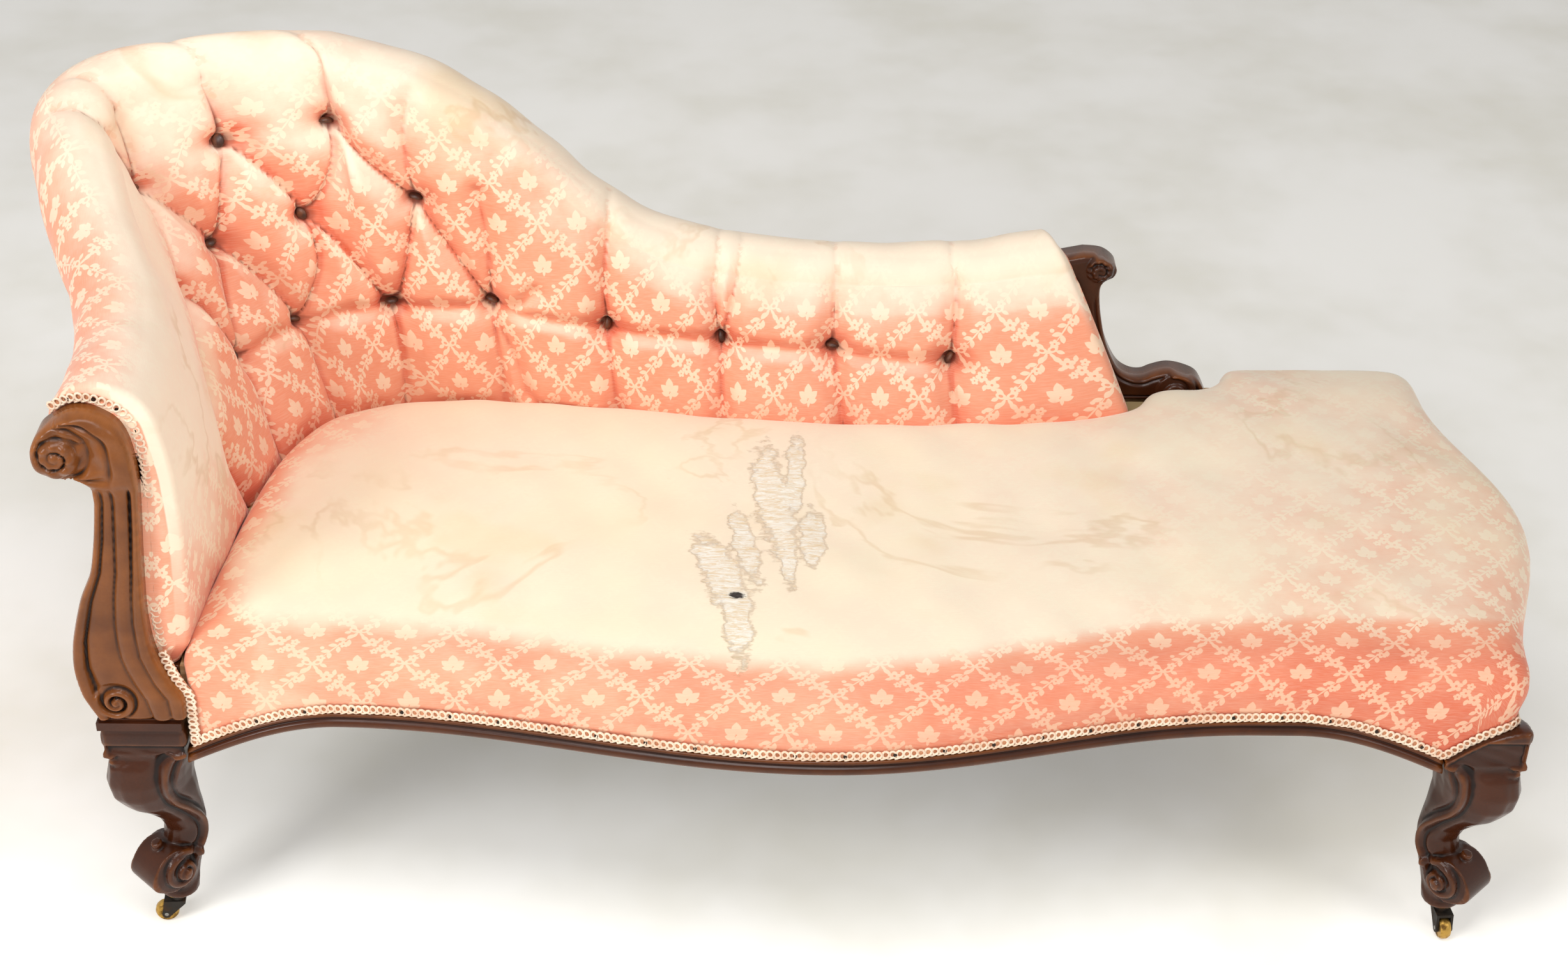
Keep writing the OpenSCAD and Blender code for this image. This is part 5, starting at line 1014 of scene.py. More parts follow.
def give_edges(piece, spread=2, reach=0.0011):
    """Marks edges above 0 and grooves below it, from how the surface bends: the finish paints wear and painted
    highlight on the edges, dust and painted shade in the grooves.
    """
    spots, pairs, outward = places(piece), edge_list(piece), places(piece, "normal")
    count = np.maximum(np.bincount(pairs.ravel(), minlength=len(spots)), 1)

    def mean_of(values):
        total = np.bincount(pairs[:, 0], values[pairs[:, 1]], len(spots))
        return (total + np.bincount(pairs[:, 1], values[pairs[:, 0]], len(spots))) / count

    smooth_spots = spots
    for _ in range(spread):
        smooth_spots = np.stack([mean_of(smooth_spots[:, k]) for k in range(3)], 1)
    bend = ((spots - smooth_spots) * outward).sum(1) / reach
    bend = mean_of(mean_of(bend))
    give_number(piece, "raised", np.clip(bend, -1, 1))


def spaced(line, length, at):
    """The line's places at these lengths along it."""
    return np.stack([np.interp(at, length, line[:, k]) for k in range(line.shape[1])], 1)


def even_line(points, pitch):
    """The polyline's points again, evenly spaced on a smooth curve."""
    fine = smooth_through(points, 12)
    length = lengths_along(fine)
    return spaced(fine, length, np.linspace(0, length[-1], max(3, int(length[-1] / pitch))))


def near_line(x, z, line):
    """For each place: distance to a polyline, share of the way along it, and its nearest spot."""
    best = np.full(x.shape, 1e9)
    along = np.zeros(x.shape)
    spot_x, spot_z = np.zeros(x.shape), np.zeros(x.shape)
    for i in range(len(line) - 1):
        (ax, az), (bx, bz) = line[i], line[i + 1]
        dx, dz = bx - ax, bz - az
        u = np.clip(((x - ax) * dx + (z - az) * dz) / max(dx * dx + dz * dz, 1e-12), 0, 1)
        px, pz = ax + u * dx, az + u * dz
        off = np.hypot(x - px, z - pz)
        closer = off < best
        best = np.where(closer, off, best)
        along = np.where(closer, (i + u) / (len(line) - 1), along)
        spot_x, spot_z = np.where(closer, px, spot_x), np.where(closer, pz, spot_z)
    return best, along, spot_x, spot_z


def spiral(cx, cz, start, turns, first, last_r, clockwise=False):
    """A volute's line: angles in degrees, winding inwards."""
    u = np.linspace(0, 1, int(26 * turns) + 2)
    angle = np.radians(start + (-1 if clockwise else 1) * 360 * turns * u)
    r = first * (last_r / first) ** u
    return np.stack([cx + r * np.cos(angle), cz + r * np.sin(angle)], 1)


def ease(value, low, high):
    u = np.clip((value - low) / (high - low), 0, 1)
    return u * u * (3 - 2 * u)


def reed(off, half_width, height):
    """Height of a half-round at this distance from its middle."""
    return height * np.sqrt(np.clip(1 - (off / half_width) ** 2, 0, 1))


def with_right_way_out(piece):
    """The piece with its loose vertices gone and all its faces outward."""
    body = bmesh.new()
    body.from_mesh(piece.data)
    bmesh.ops.delete(body, geom=[v for v in body.verts if not v.link_faces], context="VERTS")
    bmesh.ops.recalc_face_normals(body, faces=body.faces)
    body.to_mesh(piece.data)
    body.free()
    return piece


def carved_board(name, outline, relief, to_place, pitch=1.3):
    """A board in mm with a carved front: relief gives how far the front stands out at x, z."""
    low, high = outline.min(0) - pitch, outline.max(0) + pitch
    xs, zs = np.arange(low[0], high[0], pitch), np.arange(low[1], high[1], pitch)
    x, z = (a.ravel() for a in np.meshgrid(xs, zs, indexing="ij"))
    loop = np.concatenate([outline, outline[:1]])
    inside = np.zeros(len(x), bool)
    for (ax, az), (bx, bz) in zip(loop[:-1], loop[1:]):
        if az != bz:
            crossing = ((az > z) != (bz > z)) & (x < (bx - ax) * (z - az) / (bz - az) + ax)
            inside ^= crossing
    edge, _, ex, ez = near_line(x, z, loop)
    kept = inside | (edge < pitch * 0.35)
    number = np.full(len(x), -1)
    grid = np.arange(len(x)).reshape(len(xs), len(zs))
    quads = np.stack([grid[:-1, :-1], grid[1:, :-1], grid[1:, 1:], grid[:-1, 1:]], -1).reshape(-1, 4)
    quads = quads[kept[quads].all(1)]
    used = np.unique(quads)
    number[used] = np.arange(len(used))
    quads = number[quads]
    sides = np.concatenate([quads[:, [k, (k + 1) % 4]] for k in range(4)])
    key = np.sort(sides, 1)
    _, first, count = np.unique(key[:, 0] * (len(used) + 1) + key[:, 1], return_index=True, return_counts=True)
    rim = sides[first[count == 1]]
    x, z, edge, ex, ez = (a[used] for a in (x, z, edge, ex, ez))
    on_rim = np.unique(rim)
    x[on_rim], z[on_rim], edge[on_rim] = ex[on_rim], ez[on_rim], 0
    stand = relief(x, z, edge)
    n = len(x)
    front = to_place(x, stand, z)
    behind = to_place(x, np.zeros(n), z)
    middle = to_place(x, np.maximum(stand - 6, 1), z)
    walls = []
    for upper, lower in ((0, n), (n, 2 * n)):
        walls.append(np.stack([rim[:, 1] + upper, rim[:, 0] + upper, rim[:, 0] + lower, rim[:, 1] + lower], 1))
    faces = np.concatenate([quads, *walls, quads[:, ::-1] + 2 * n])
    return with_right_way_out(mesh_piece(name, np.concatenate([front, middle, behind]), faces))


# The facing is drawn in mm on its own flat, and its edges in shares of its height
facing_h, facing_z0, facing_left, facing_front = 403.0, 0.343, -815, -308.3
shift_x_mm, shift_y_mm = 40.59, 23
left_edge = np.array([[0.008, 0.000], [-0.030, 0.085], [-0.042, 0.176], [-0.032, 0.270], [0.005, 0.405],
                      [0.045, 0.500], [0.068, 0.610], [0.084, 0.727], [0.080, 0.775], [0.055, 0.806]])
head_edge = np.array([[0.055, 0.806], [0.017, 0.804], [-0.030, 0.820], [-0.057, 0.870], [-0.040, 0.935],
                      [0.000, 0.972], [0.045, 0.998], [0.090, 1.000], [0.130, 0.986], [0.166, 0.960],
                      [0.188, 0.913]])
right_edge = np.array([[0.188, 0.913], [0.199, 0.844], [0.201, 0.762], [0.193, 0.655], [0.184, 0.551],
                       [0.176, 0.442], [0.171, 0.330], [0.180, 0.218], [0.214, 0.125], [0.246, 0.070],
                       [0.246, 0.000]])
facing_outline = even_line(np.concatenate([left_edge, head_edge[1:], right_edge[1:]]), 0.008) * facing_h
scroll_x, scroll_z, scroll_r = 0.010 * facing_h, 0.888 * facing_h, 33.0
volute_x, volute_z = 0.062 * facing_h, 0.066 * facing_h
low_volute = spiral(volute_x, volute_z, 165, 1.75, 25.0, 5.5)
head_volute = spiral(scroll_x, scroll_z, 40, 1.9, 37.0, 7.0)
reed_rows = np.array([[0.00, 0.05, 0.06, 0.44, 0.20, 0.74, 0.10, 0.925, 0.075],
                      [0.18, 0.05, 0.075, 0.40, 0.21, 0.72, 0.11, 0.915, 0.085],
                      [0.40, 0.07, 0.085, 0.36, 0.18, 0.69, 0.13, 0.915, 0.085],
                      [0.62, 0.08, 0.095, 0.32, 0.13, 0.64, 0.17, 0.930, 0.075],
                      [0.80, 0.09, 0.095, 0.31, 0.11, 0.63, 0.18, 0.940, 0.065]])


def facing_relief(x, z, edge):
    share = z / facing_h
    xl = np.interp(share, left_edge[:9, 1], left_edge[:9, 0]) * facing_h
    xr = np.interp(share, right_edge[::-1, 1], right_edge[::-1, 0]) * facing_h
    w = (x - xl) / np.maximum(xr - xl, 1)
    row = [np.interp(share, reed_rows[:, 0], reed_rows[:, k]) for k in range(1, 9)]
    reeds = np.full(x.shape, -2.5)
    for k, height in enumerate((7.5, 4.0, 7.0, 5.5)):
        reeds = np.maximum(reeds, reed(w - row[2 * k], row[2 * k + 1] + 0.02, height + 2.5) - 2.5)
    rounded_head = ease(share, 0.790, 0.755)
    reeds = reeds * rounded_head + 2.0 * (1 - rounded_head)
    cx, cz = x - scroll_x, z - scroll_z
    r = np.hypot(cx, cz)
    way = np.arctan2(cz, cx)
    between = np.clip((r - scroll_r) / np.maximum(r - scroll_r + edge, 1e-6), 0, 1)
    leaf_part = 4 + 9 * np.sin(np.pi * np.clip(between, 0, 1)) ** 0.8
    leaf_part -= 4.5 * np.exp(-((between - 0.52) / 0.07) ** 2)
    leaf_part += 1.4 * np.sin(way * 9 + between * 5) * np.sin(np.pi * between)
    top_part = ease(share, 0.745, 0.80) * (r > scroll_r - 4)
    surface = reeds * (1 - top_part) + leaf_part * top_part
    off, along, _, _ = near_line(x, z, head_volute)
    drum = 11 + 9 * ease(r, 36, 14) - 2.5 + 6.0 * np.sqrt(np.clip(1 - (off / (9.5 - 5.5 * along)) ** 2, 0, 1)) - 2.5
    drum += 1.2 * np.sin(way * 7 - r * 0.22) * ease(r, 6, 16)
    on_drum = ease(r, scroll_r + 3, scroll_r - 1.5)
    surface = surface * (1 - on_drum) + np.maximum(drum, 4) * on_drum
    eye = reed(r, 8.0, 9.0) + 13
    surface = np.where(r < 8.0, np.maximum(surface, eye), surface)
    off, along, _, _ = near_line(x, z, low_volute)
    coil = reed(off, 5.6 - 2.6 * along, 7.5 + 2.5 * along)
    vr = np.hypot(x - volute_x, z - volute_z)
    inner = ease(vr, 27, 21)
    surface = surface * (1 - inner) + np.maximum(coil, -3.0) * inner
    surface = np.where(vr < 5.5, np.maximum(surface, reed(vr, 5.5, 7.0) + 4.0), surface)
    edge_r = 5.0
    rounding = edge_r - np.sqrt(np.maximum(edge_r ** 2 - np.maximum(edge_r - edge, 0) ** 2, 0))
    return 23.4 + surface - rounding


def on_facing(x, stand, z):
    return np.stack([(facing_left + x + shift_x_mm) / 1000, (facing_front + shift_y_mm - stand) / 1000,
                     facing_z0 + z / 1000], 1)


carved_facing = carved_board("carved_facing", facing_outline, facing_relief, on_facing)
give_edges(carved_facing)
# A lighter, more golden copy of the mahogany for the facing: painted light, as the facing stands in the light
lit_mahogany = mahogany_finish("mahogany, golden with handling", upright, "A0602C", "552B14", "A8642F")
carved_facing.data.materials.append(lit_mahogany)
rides_on_couch(carved_facing, "mahogany", "arm_facing")


# Terminal: the carved bracket at the end of the low back, with a leaf scroll
# above, a slim stem, and a plain snail scroll that rests on the seat's corner.
terminal_line = np.array([[-80, 207], [-45, 214], [-20, 211], [-3, 197], [-4, 184], [-16, 176], [-21, 166],
                          [-20, 145], [-16, 121], [-9, 92], [1, 66], [14, 44], [30, 33], [46, 31], [60, 37],
                          [80, 42], [102, 38], [122, 27], [136, 0]])
terminal_front = 330 - 0.3
end_station = station(float(last))
end_x0 = float(back_place(end_station, back_reach(end_station), np.array([rail_top]))[0, 0])


def sloping_end(z):
    return float(back_place(end_station, back_reach(end_station), np.array([z]))[0, 0]) - end_x0


slope_top, slope_low = sloping_end(rail_top + 0.207) * 1000, 0.0
terminal_outline = np.concatenate([[[slope_low + 1, 0]], [[slope_top + 1, 207]],
                                   even_line(terminal_line[terminal_line[:, 1] > -1][1:], 3.0)])


def terminal_relief(x, z, edge):
    surface = 5.5 * np.sqrt(np.clip(1 - (1 - np.clip(edge / 9.0, 0, 1)) ** 2, 0, 1)) - 5.5
    surface -= 3.0 * np.exp(-((edge - 6.5) / 1.6) ** 2) * ease(z, 165, 140)
    for cx, cz, radius, line, ribs in ((-24, 196, 18, spiral(-24, 196, 150, 1.5, 19.0, 4.0, True), 9),
                                       (92, 15, 27, spiral(92, 15, 100, 1.8, 27.0, 5.0, True), 0)):
        r = np.hypot(x - cx, z - cz)
        off, along, _, _ = near_line(x, z, line)
        drum = 2.0 + reed(off, 5.6 - 2.8 * along, 4.5) + 3.0 * ease(r, radius, 4)
        if ribs:
            drum += 0.9 * np.sin(np.arctan2(z - cz, x - cx) * ribs + r * 0.3) * ease(r, 4, 10)
        near = ease(r, radius + 1.5, radius - 2)
        surface = surface * (1 - near) + drum * near
        surface = np.where(r < radius * 0.22, np.maximum(surface, 7.5), surface)
    return 36 + surface


def on_terminal(x, stand, z):
    return np.stack([end_x0 + x / 1000, (terminal_front + shift_y_mm - stand) / 1000, rail_top + z / 1000], 1)


carved_terminal = carved_board("carved_terminal", terminal_outline, terminal_relief, on_terminal, 1.1)
give_edges(carved_terminal)
carved_terminal.data.materials.append(mahogany)
rides_on_couch(carved_terminal, "mahogany", "back_terminal")


# Front legs: cabriole legs set on the corners. Each has a shield-shaped knee
# under a leaf edge, an S ridge down each side, and a snail scroll for a foot.
ridge_line = even_line([(2, 291), (16, 268), (19, 240), (8, 210), (-16, 180), (-34, 152), (-36, 128), (-24, 108),
                        (-22, 92)], 3.0)
foot_coil = spiral(2, 92, 150, 1.7, 29.0, 6.0, True)


def carved_leg(name, node, corner, spin):
    """Carves the CAD leg, in mm: a runs out from its corner, b across, and z is the height."""
    leg = loose_copy(name, node, 0.0017)
    spots, pairs = places(leg), edge_list(leg)
    spots = relax(spots, pairs, 5, 0.5)
    place_all(leg, spots)
    outward = relax(places(leg, "normal"), pairs, 4)
    c, s = math.cos(math.radians(spin)), math.sin(math.radians(spin))
    dx, dy, z = (spots[:, 0] - corner[0]) * 1000, (spots[:, 1] - corner[1]) * 1000, spots[:, 2] * 1000
    a, b = dx * c + dy * s, -dx * s + dy * c
    to_side = np.abs(-outward[:, 0] * s + outward[:, 1] * c)
    side = ease(to_side, 0.30, 0.75)
    off, along, _, _ = near_line(a, z, ridge_line)
    nearest_a = np.interp(z, ridge_line[::-1, 1], ridge_line[::-1, 0])
    leg_part = ease(z, 294, 284) * ease(z, 88, 104)
    lift = side * leg_part * (4.5 * np.exp(-(off / 4.2) ** 2) - 3.6 * np.exp(-((off - 8.5) / 3.6) ** 2))
    shield = ease(a - nearest_a, 10, 34) * ease(z, 292, 262) * ease(z, 176, 214)
    lift += side * 3.6 * shield + (1 - side) * 2.0 * ease(z, 290, 262) * ease(z, 180, 214) * (a > 10)
    off, along, _, _ = near_line(a, z, foot_coil)
    foot_part = side * ease(z, 130, 120) * ease(np.hypot(a - 4, z - 92), 40, 33)
    lift += foot_part * (reed(off, 6.2 - 3.0 * along, 5.0) - 2.0)
    lift = np.where(side * (np.hypot(a - 2, z - 92) < 6.0) > 0.4, np.maximum(lift, 6.0), lift)
    nose = np.exp(-((a - 38) / 12) ** 2 - ((z - 86) / 15) ** 2)
    lift += 6.0 * nose * (1 - 0.7 * side)
    # Leaf edge round the knee's top, in small lobes
    hem = 277 - 6.0 * np.abs(np.cos(np.arctan2(b, a) * 5.0))
    leafy = ease(z, hem, hem + 3.0) * ease(z, 297, 291)
    lift += 3.0 * leafy * (a > -20) * ease(to_side, 0.75, 0.30)
    lift -= 2.0 * np.exp(-((z - hem + 2.5) / 2.0) ** 2) * (a > -20) * (z < 290) * ease(to_side, 0.75, 0.30)
    # The block above is sunk a little below its top moulding
    block = ease(z, 266, 300)
    flat_face = np.maximum(np.abs(outward[:, 0]), np.abs(outward[:, 1])) > 0.85
    top_of_block = 320.0 if spin > 0 else 293 + 48 * np.sin(np.radians(90 * np.clip(
        np.maximum(spots[:, 0] * 1000 - 761.6, -(spots[:, 1] * 1000 + 215.0)) / 94, 0, 1)))
    below = top_of_block - z
    carving = 1.0 * np.sin(dx * 0.16 + z * 0.20) * np.sin(dy * 0.16 - z * 0.12) * ease(below, 24, 30)
    lift += block * flat_face * (1.6 * reed(below - 8.5, 9.5, 1.0) - (5.2 - carving) * ease(below, 17, 20)
                                 - 1.2 * np.exp(-((below - 18.5) / 1.5) ** 2))
    spots = spots + directions(outward) * lift[:, None] / 1000
    spots = relax(spots, pairs, 1, 0.4)
    place_all(leg, spots)
    give_edges(leg, 3, 0.0009)
    leg.data.materials.append(mahogany)
    rides_on_couch(leg, "mahogany", node)


carved_leg("carved_leg_left", "front_left_leg", (-0.7274, -0.262), 225)
carved_leg("carved_leg_right", "front_right_leg", (0.8086, -0.262), -45)
dress(mahogany_long, "facing_plate")
dress(mahogany, "rear_left_leg", "rear_right_leg")


# Show-wood mouldings: one thin moulded strip along the front and one along
# the foot end, each following the bow of its rail and dropping at the legs.
# The strip's section in mm, as (out, up) pairs
moulding_section = [(0, 0), (14.5, 0), (16.3, -0.6), (17.3, -2.2), (17.0, -4.2), (15.4, -5.4), (14.6, -6.4),
                    (15.6, -7.4), (18.2, -8.2), (19.6, -10.2), (20.0, -12.6), (19.4, -15.4), (17.4, -17.8),
                    (14.5, -19), (0, -19)]


arch_drop, arch_run, moulding_z, front_half = 0.054, 0.175, 0.3462, 0.721
foot_from, foot_to = -0.238, 0.290


def arch(from_leg):
    """How far the moulding has dropped at this distance from a leg."""
    return arch_drop * (1 - np.sin(np.pi / 2 * np.clip(from_leg / arch_run, 0, 1)))


def swept_moulding(name, path, outward):
    """Sweeps the section along a path of places, each with its way out."""
    section = np.array(moulding_section) / 1000
    count = len(section)
    points = path[:, None, :] + section[None, :, :1] * outward[:, None, :]
    points[:, :, 2] += section[None, :, 1]
    index = np.arange(len(path) * count).reshape(len(path), count)
    after = np.roll(index, -1, 1)
    faces = [tuple(f) for f in np.stack([index[:-1], index[1:], after[1:], after[:-1]], -1).reshape(-1, 4)]
    faces += [tuple(index[0]), tuple(index[-1][::-1])]
    piece = with_right_way_out(mesh_piece(name, points.reshape(-1, 3), faces))
    give_edges(piece, 1, 0.0008)
    return piece


xs = np.linspace(-front_half, front_half, 240)
ys = np.linspace(foot_from, foot_to - 0.006, 90)
still = np.zeros_like
front_fall = arch(front_half - np.abs(xs))
front_path = np.stack([xs + shift[0], front_line(xs) + shift[1], moulding_z - front_fall], 1)
front_strip = swept_moulding("front_strip", front_path, np.stack([still(xs), still(xs) - 1, still(xs)], 1))
foot_fall = arch(np.minimum(ys - foot_from, foot_to - ys))
foot_path = np.stack([foot_line(ys) + shift[0], ys + shift[1], moulding_z - foot_fall], 1)
foot_strip = swept_moulding("foot_strip", foot_path, np.stack([still(ys) + 1, still(ys), still(ys)], 1))
front_strip.data.materials.append(mahogany_long)
foot_strip.data.materials.append(mahogany_across)
rides_on_couch(front_strip, "mahogany", "front_moulding")
rides_on_couch(foot_strip, "mahogany", "foot_end_moulding")


# Gimp: cream silk braid of small linked loops, glued and tacked over the raw
# edge of the brocade. Beside the middle of the facing it has come away.
def node_input(group, label, kind, value=None):
    socket = group.interface.new_socket(label, in_out="INPUT", socket_type="NodeSocket" + kind)
    if value is not None:
        socket.default_value = value
    return socket.identifier


def repeat_group():
    """Sets one unit on every point, with its X along and its Z out, a little unevenly."""
    group = bpy.data.node_groups.new("repeat on points", "GeometryNodeTree")
    keys = {"Points": node_input(group, "Points", "Geometry")}
    for label, kind, value in (("Unit", "Object", None), ("Finish", "Material", None), ("Seed", "Int", 1),
                               ("Uneven size", "Float", 0.05), ("Uneven turn", "Float", 0.08)):
        keys[label] = node_input(group, label, kind, value)
    group.interface.new_socket("Pieces", in_out="OUTPUT", socket_type="NodeSocketGeometry")
    given, gives = group.nodes.new("NodeGroupInput"), group.nodes.new("NodeGroupOutput")
    unit = put(group, "GeometryNodeObjectInfo", {"Object": given.outputs["Unit"]})
    out_way = put(group, "GeometryNodeInputNamedAttribute", data_type="FLOAT_VECTOR")
    out_way.inputs["Name"].default_value = "out"
    along_way = put(group, "GeometryNodeInputNamedAttribute", data_type="FLOAT_VECTOR")
    along_way.inputs["Name"].default_value = "along"
    stand = put(group, "FunctionNodeAlignRotationToVector", {"Vector": out_way.outputs["Attribute"]}, axis="Z")
    lie = put(group, "FunctionNodeAlignRotationToVector", {"Rotation": stand.outputs[0],
              "Vector": along_way.outputs["Attribute"]}, axis="X", pivot_axis="Z")
    jitter = put(group, "FunctionNodeRandomValue", data_type="FLOAT_VECTOR")
    spread = given.outputs["Uneven turn"]
    less = put(group, "ShaderNodeMath", {0: spread, 1: -1.0}, operation="MULTIPLY").outputs[0]
    group.links.new(less, jitter.inputs[0])
    group.links.new(spread, jitter.inputs[1])
    group.links.new(given.outputs["Seed"], jitter.inputs["Seed"])
    turned = put(group, "FunctionNodeRotateRotation", {"Rotation": lie.outputs[0]}, rotation_space="LOCAL")
    group.links.new(jitter.outputs[0], turned.inputs[1])
    size = put(group, "FunctionNodeRandomValue", data_type="FLOAT")
    group.links.new(put(group, "ShaderNodeMath", {0: 1.0, 1: given.outputs["Uneven size"]},
                        operation="SUBTRACT").outputs[0], size.inputs[2])
    group.links.new(put(group, "ShaderNodeMath", {0: 1.0, 1: given.outputs["Uneven size"]},
                        operation="ADD").outputs[0], size.inputs[3])
    group.links.new(given.outputs["Seed"], size.inputs["Seed"])
    placed = put(group, "GeometryNodeInstanceOnPoints", {"Points": given.outputs["Points"],
                 "Instance": unit.outputs["Geometry"], "Rotation": turned.outputs[0]})
    group.links.new(size.outputs[1], placed.inputs["Scale"])
    real = put(group, "GeometryNodeRealizeInstances", {0: placed.outputs[0]})
    finished = put(group, "GeometryNodeSetMaterial", {"Geometry": real.outputs[0],
                   "Material": given.outputs["Finish"]})
    group.links.new(finished.outputs[0], gives.inputs[0])
    return group, keys


repeater, repeat_keys = repeat_group()


def repeated(name, spots, along_ways, out_ways, unit, finish, seed, size=0.05, turn=0.08):
    data = bpy.data.meshes.new(name)
    data.from_pydata([tuple(map(float, p)) for p in spots], [], [])
    piece = link(bpy.data.objects.new(name, data))
    for label, ways in (("along", along_ways), ("out", out_ways)):
        kept = data.attributes.new(label, "FLOAT_VECTOR", "POINT")
        kept.data.foreach_set("vector", np.asarray(ways, np.float32).ravel())
    work = piece.modifiers.new("repeat", "NODES")
    work.node_group = repeater
    for label, value in (("Unit", unit), ("Finish", finish), ("Seed", seed), ("Uneven size", size),
                         ("Uneven turn", turn)):
        work[repeat_keys[label]] = value
    piece = baked(piece)
    for label in ("along", "out"):
        if label in piece.data.attributes:
            piece.data.attributes.remove(piece.data.attributes[label])
    return piece


def skin_over(name, rings, smooth=True):
    """A solid over rings of places, with both ends closed."""
    index = np.arange(rings.shape[0] * rings.shape[1]).reshape(rings.shape[:2])
    after = np.roll(index, -1, 1)
    faces = [tuple(f) for f in np.stack([index[:-1], after[:-1], after[1:], index[1:]], -1).reshape(-1, 4)]
    return mesh_piece(name, rings.reshape(-1, 3), faces + [tuple(index[0][::-1]), tuple(index[-1])], smooth)


def tube(name, line, radius, sides=5):
    """A thin round cord along a line of places, in metres."""
    line = np.asarray(line, float)
    ways = directions(np.gradient(line, axis=0))
    side = directions(np.cross(ways, (0.05, 0.02, 1.0)))
    over = np.cross(side, ways)
    turns = np.linspace(0, 2 * np.pi, sides, endpoint=False)
    return skin_over(name, line[:, None] + radius * (np.cos(turns)[None, :, None] * side[:, None]
                                                     + np.sin(turns)[None, :, None] * over[:, None]))


silk, tree, shader = new_finish("gimp silk", Roughness=0.7, Sheen_Weight=0.3)
place = object_place(tree)
cord_twist = noise(tree, place, 900.0, 2.0, 0.6)
soil = noise(tree, place, 38.0, 3.0, 0.6)
colour = blend(tree, steps(tree, soil, 0.35, 0.7), in_light("FFEBD2"), in_light("F0CDB0"))
colour = blend(tree, steps(tree, cord_twist, 0.4, 0.65, 0.0, 0.3), colour, in_light("CFA284"))
tree.links.new(colour, shader.inputs["Base Color"])
emboss(tree, shader, 0.6, 0.0004, cord_twist)

loop_pitch, band_thick = 0.0080, 0.0012
turns = np.linspace(math.radians(-70), math.radians(290), 13)
curl = np.stack([0.0036 * np.cos(turns) * (1 + 0.1 * np.cos(turns)), 0.0042 * np.sin(turns) + 0.0014,
                 0.0012 + 0.0005 * np.cos(turns + 0.6)], 1)
foot = np.array([[-0.0050, -0.0048, 0.0008], [-0.0028, -0.0042, 0.0013]])
loop_unit = tube("gimp_loop_unit", np.concatenate([foot, curl, [[0.0049, -0.0046, 0.0009]]]), 0.00135, 5)


def station_path(name, centre):
    """The outer line of a braid's solid, in order round the centre: x, y, lowest and highest z."""
    spots = np.unique(np.round(places(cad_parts[name]), 6), axis=0)
    plan = {}
    for x, y, z in spots:
        plan.setdefault((round(x, 5), round(y, 5)), []).append(z)
    rows = np.array([(x, y, min(zs), max(zs)) for (x, y), zs in plan.items()])
    outer = []
    for row in rows:
        gap = np.hypot(rows[:, 0] - row[0], rows[:, 1] - row[1])
        mates = rows[(gap < 0.0028) & (gap > 1e-4)]
        far = np.hypot(row[0] - centre[0], row[1] - centre[1])
        if not len(mates) or far >= max(np.hypot(m[0] - centre[0], m[1] - centre[1]) for m in mates):
            outer.append(row)
    outer = np.array(outer)
    angle = np.arctan2(outer[:, 1] - centre[1], outer[:, 0] - centre[0])
    return outer[np.argsort(angle)]


def braid(name, line, out_ways, finish, seed):
    """Rows of linked loops along a line of places, evenly spaced."""
    length = lengths_along(line)
    at = np.arange(0.003, length[-1] - 0.002, loop_pitch)
    spots, outs = spaced(line, length, at), directions(spaced(out_ways, length, at))
    return repeated(name, spots, directions(np.gradient(spots, axis=0)), outs, loop_unit, finish, seed)


def edge_braid(name, node, seed, corner=()):
    rows = station_path(node, (0.04, 0.30))
    line = np.stack([rows[:, 0], rows[:, 1], (rows[:, 2] + rows[:, 3]) / 2 - 0.001], 1)
    line = np.concatenate([np.reshape(corner, (-1, 3)), line])
    ways = np.gradient(line, axis=0)
    outs = directions(np.stack([ways[:, 1], -ways[:, 0], np.zeros(len(line))], 1))
    return braid(name, line - outs * 0.0018, outs, silk, seed), line, outs


def braid_backing(name, line, outs, up_ways=None, half_width=0.0048):
    """The flat woven band that the loops are worked on."""
    ups = np.tile((0, 0, 1.0), (len(line), 1)) if up_ways is None else up_ways
    corners = [(-band_thick, -half_width), (-band_thick, half_width), (0, half_width * 0.92),
               (0, -half_width * 0.92)]
    return skin_over(name, np.stack([line + outs * a + ups * b for a, b in corners], 1), False)


left_corner = [(-0.6740, -0.2998, 0.3000), (-0.6650, -0.2998, 0.3048), (-0.6500, -0.2998, 0.3122),
               (-0.6380, -0.3000, 0.3178)]
front_loops, front_braid, front_outs = edge_braid("front_gimp_loops", "front_gimp", 3, left_corner)
foot_loops, foot_braid, foot_outs = edge_braid("foot_end_gimp_loops", "foot_end_gimp", 5)
front_band = braid_backing("front_gimp_band", front_braid - front_outs * band_thick, front_outs)
foot_band = braid_backing("foot_end_gimp_band", foot_braid - foot_outs * band_thick, foot_outs)
beside = even_line(np.concatenate([head_edge[5:], right_edge[1:8]]) * facing_h, 3.0)
ways = directions(np.gradient(beside, axis=0))
aside = beside + np.stack([-ways[:, 1], ways[:, 0]], 1) * 6.4
level_share = aside[:, 1] / facing_h


def facing_run(name, kept, seed):
    line = on_facing(aside[kept, 0], np.full(kept.sum(), 1.2), aside[kept, 1])
    outs = np.tile((0, -1.0, 0), (len(line), 1))
    ups = np.cross(directions(np.gradient(line, axis=0)), outs)
    return braid(name, line, outs, silk, seed), braid_backing(name + "_band", line, outs, ups)


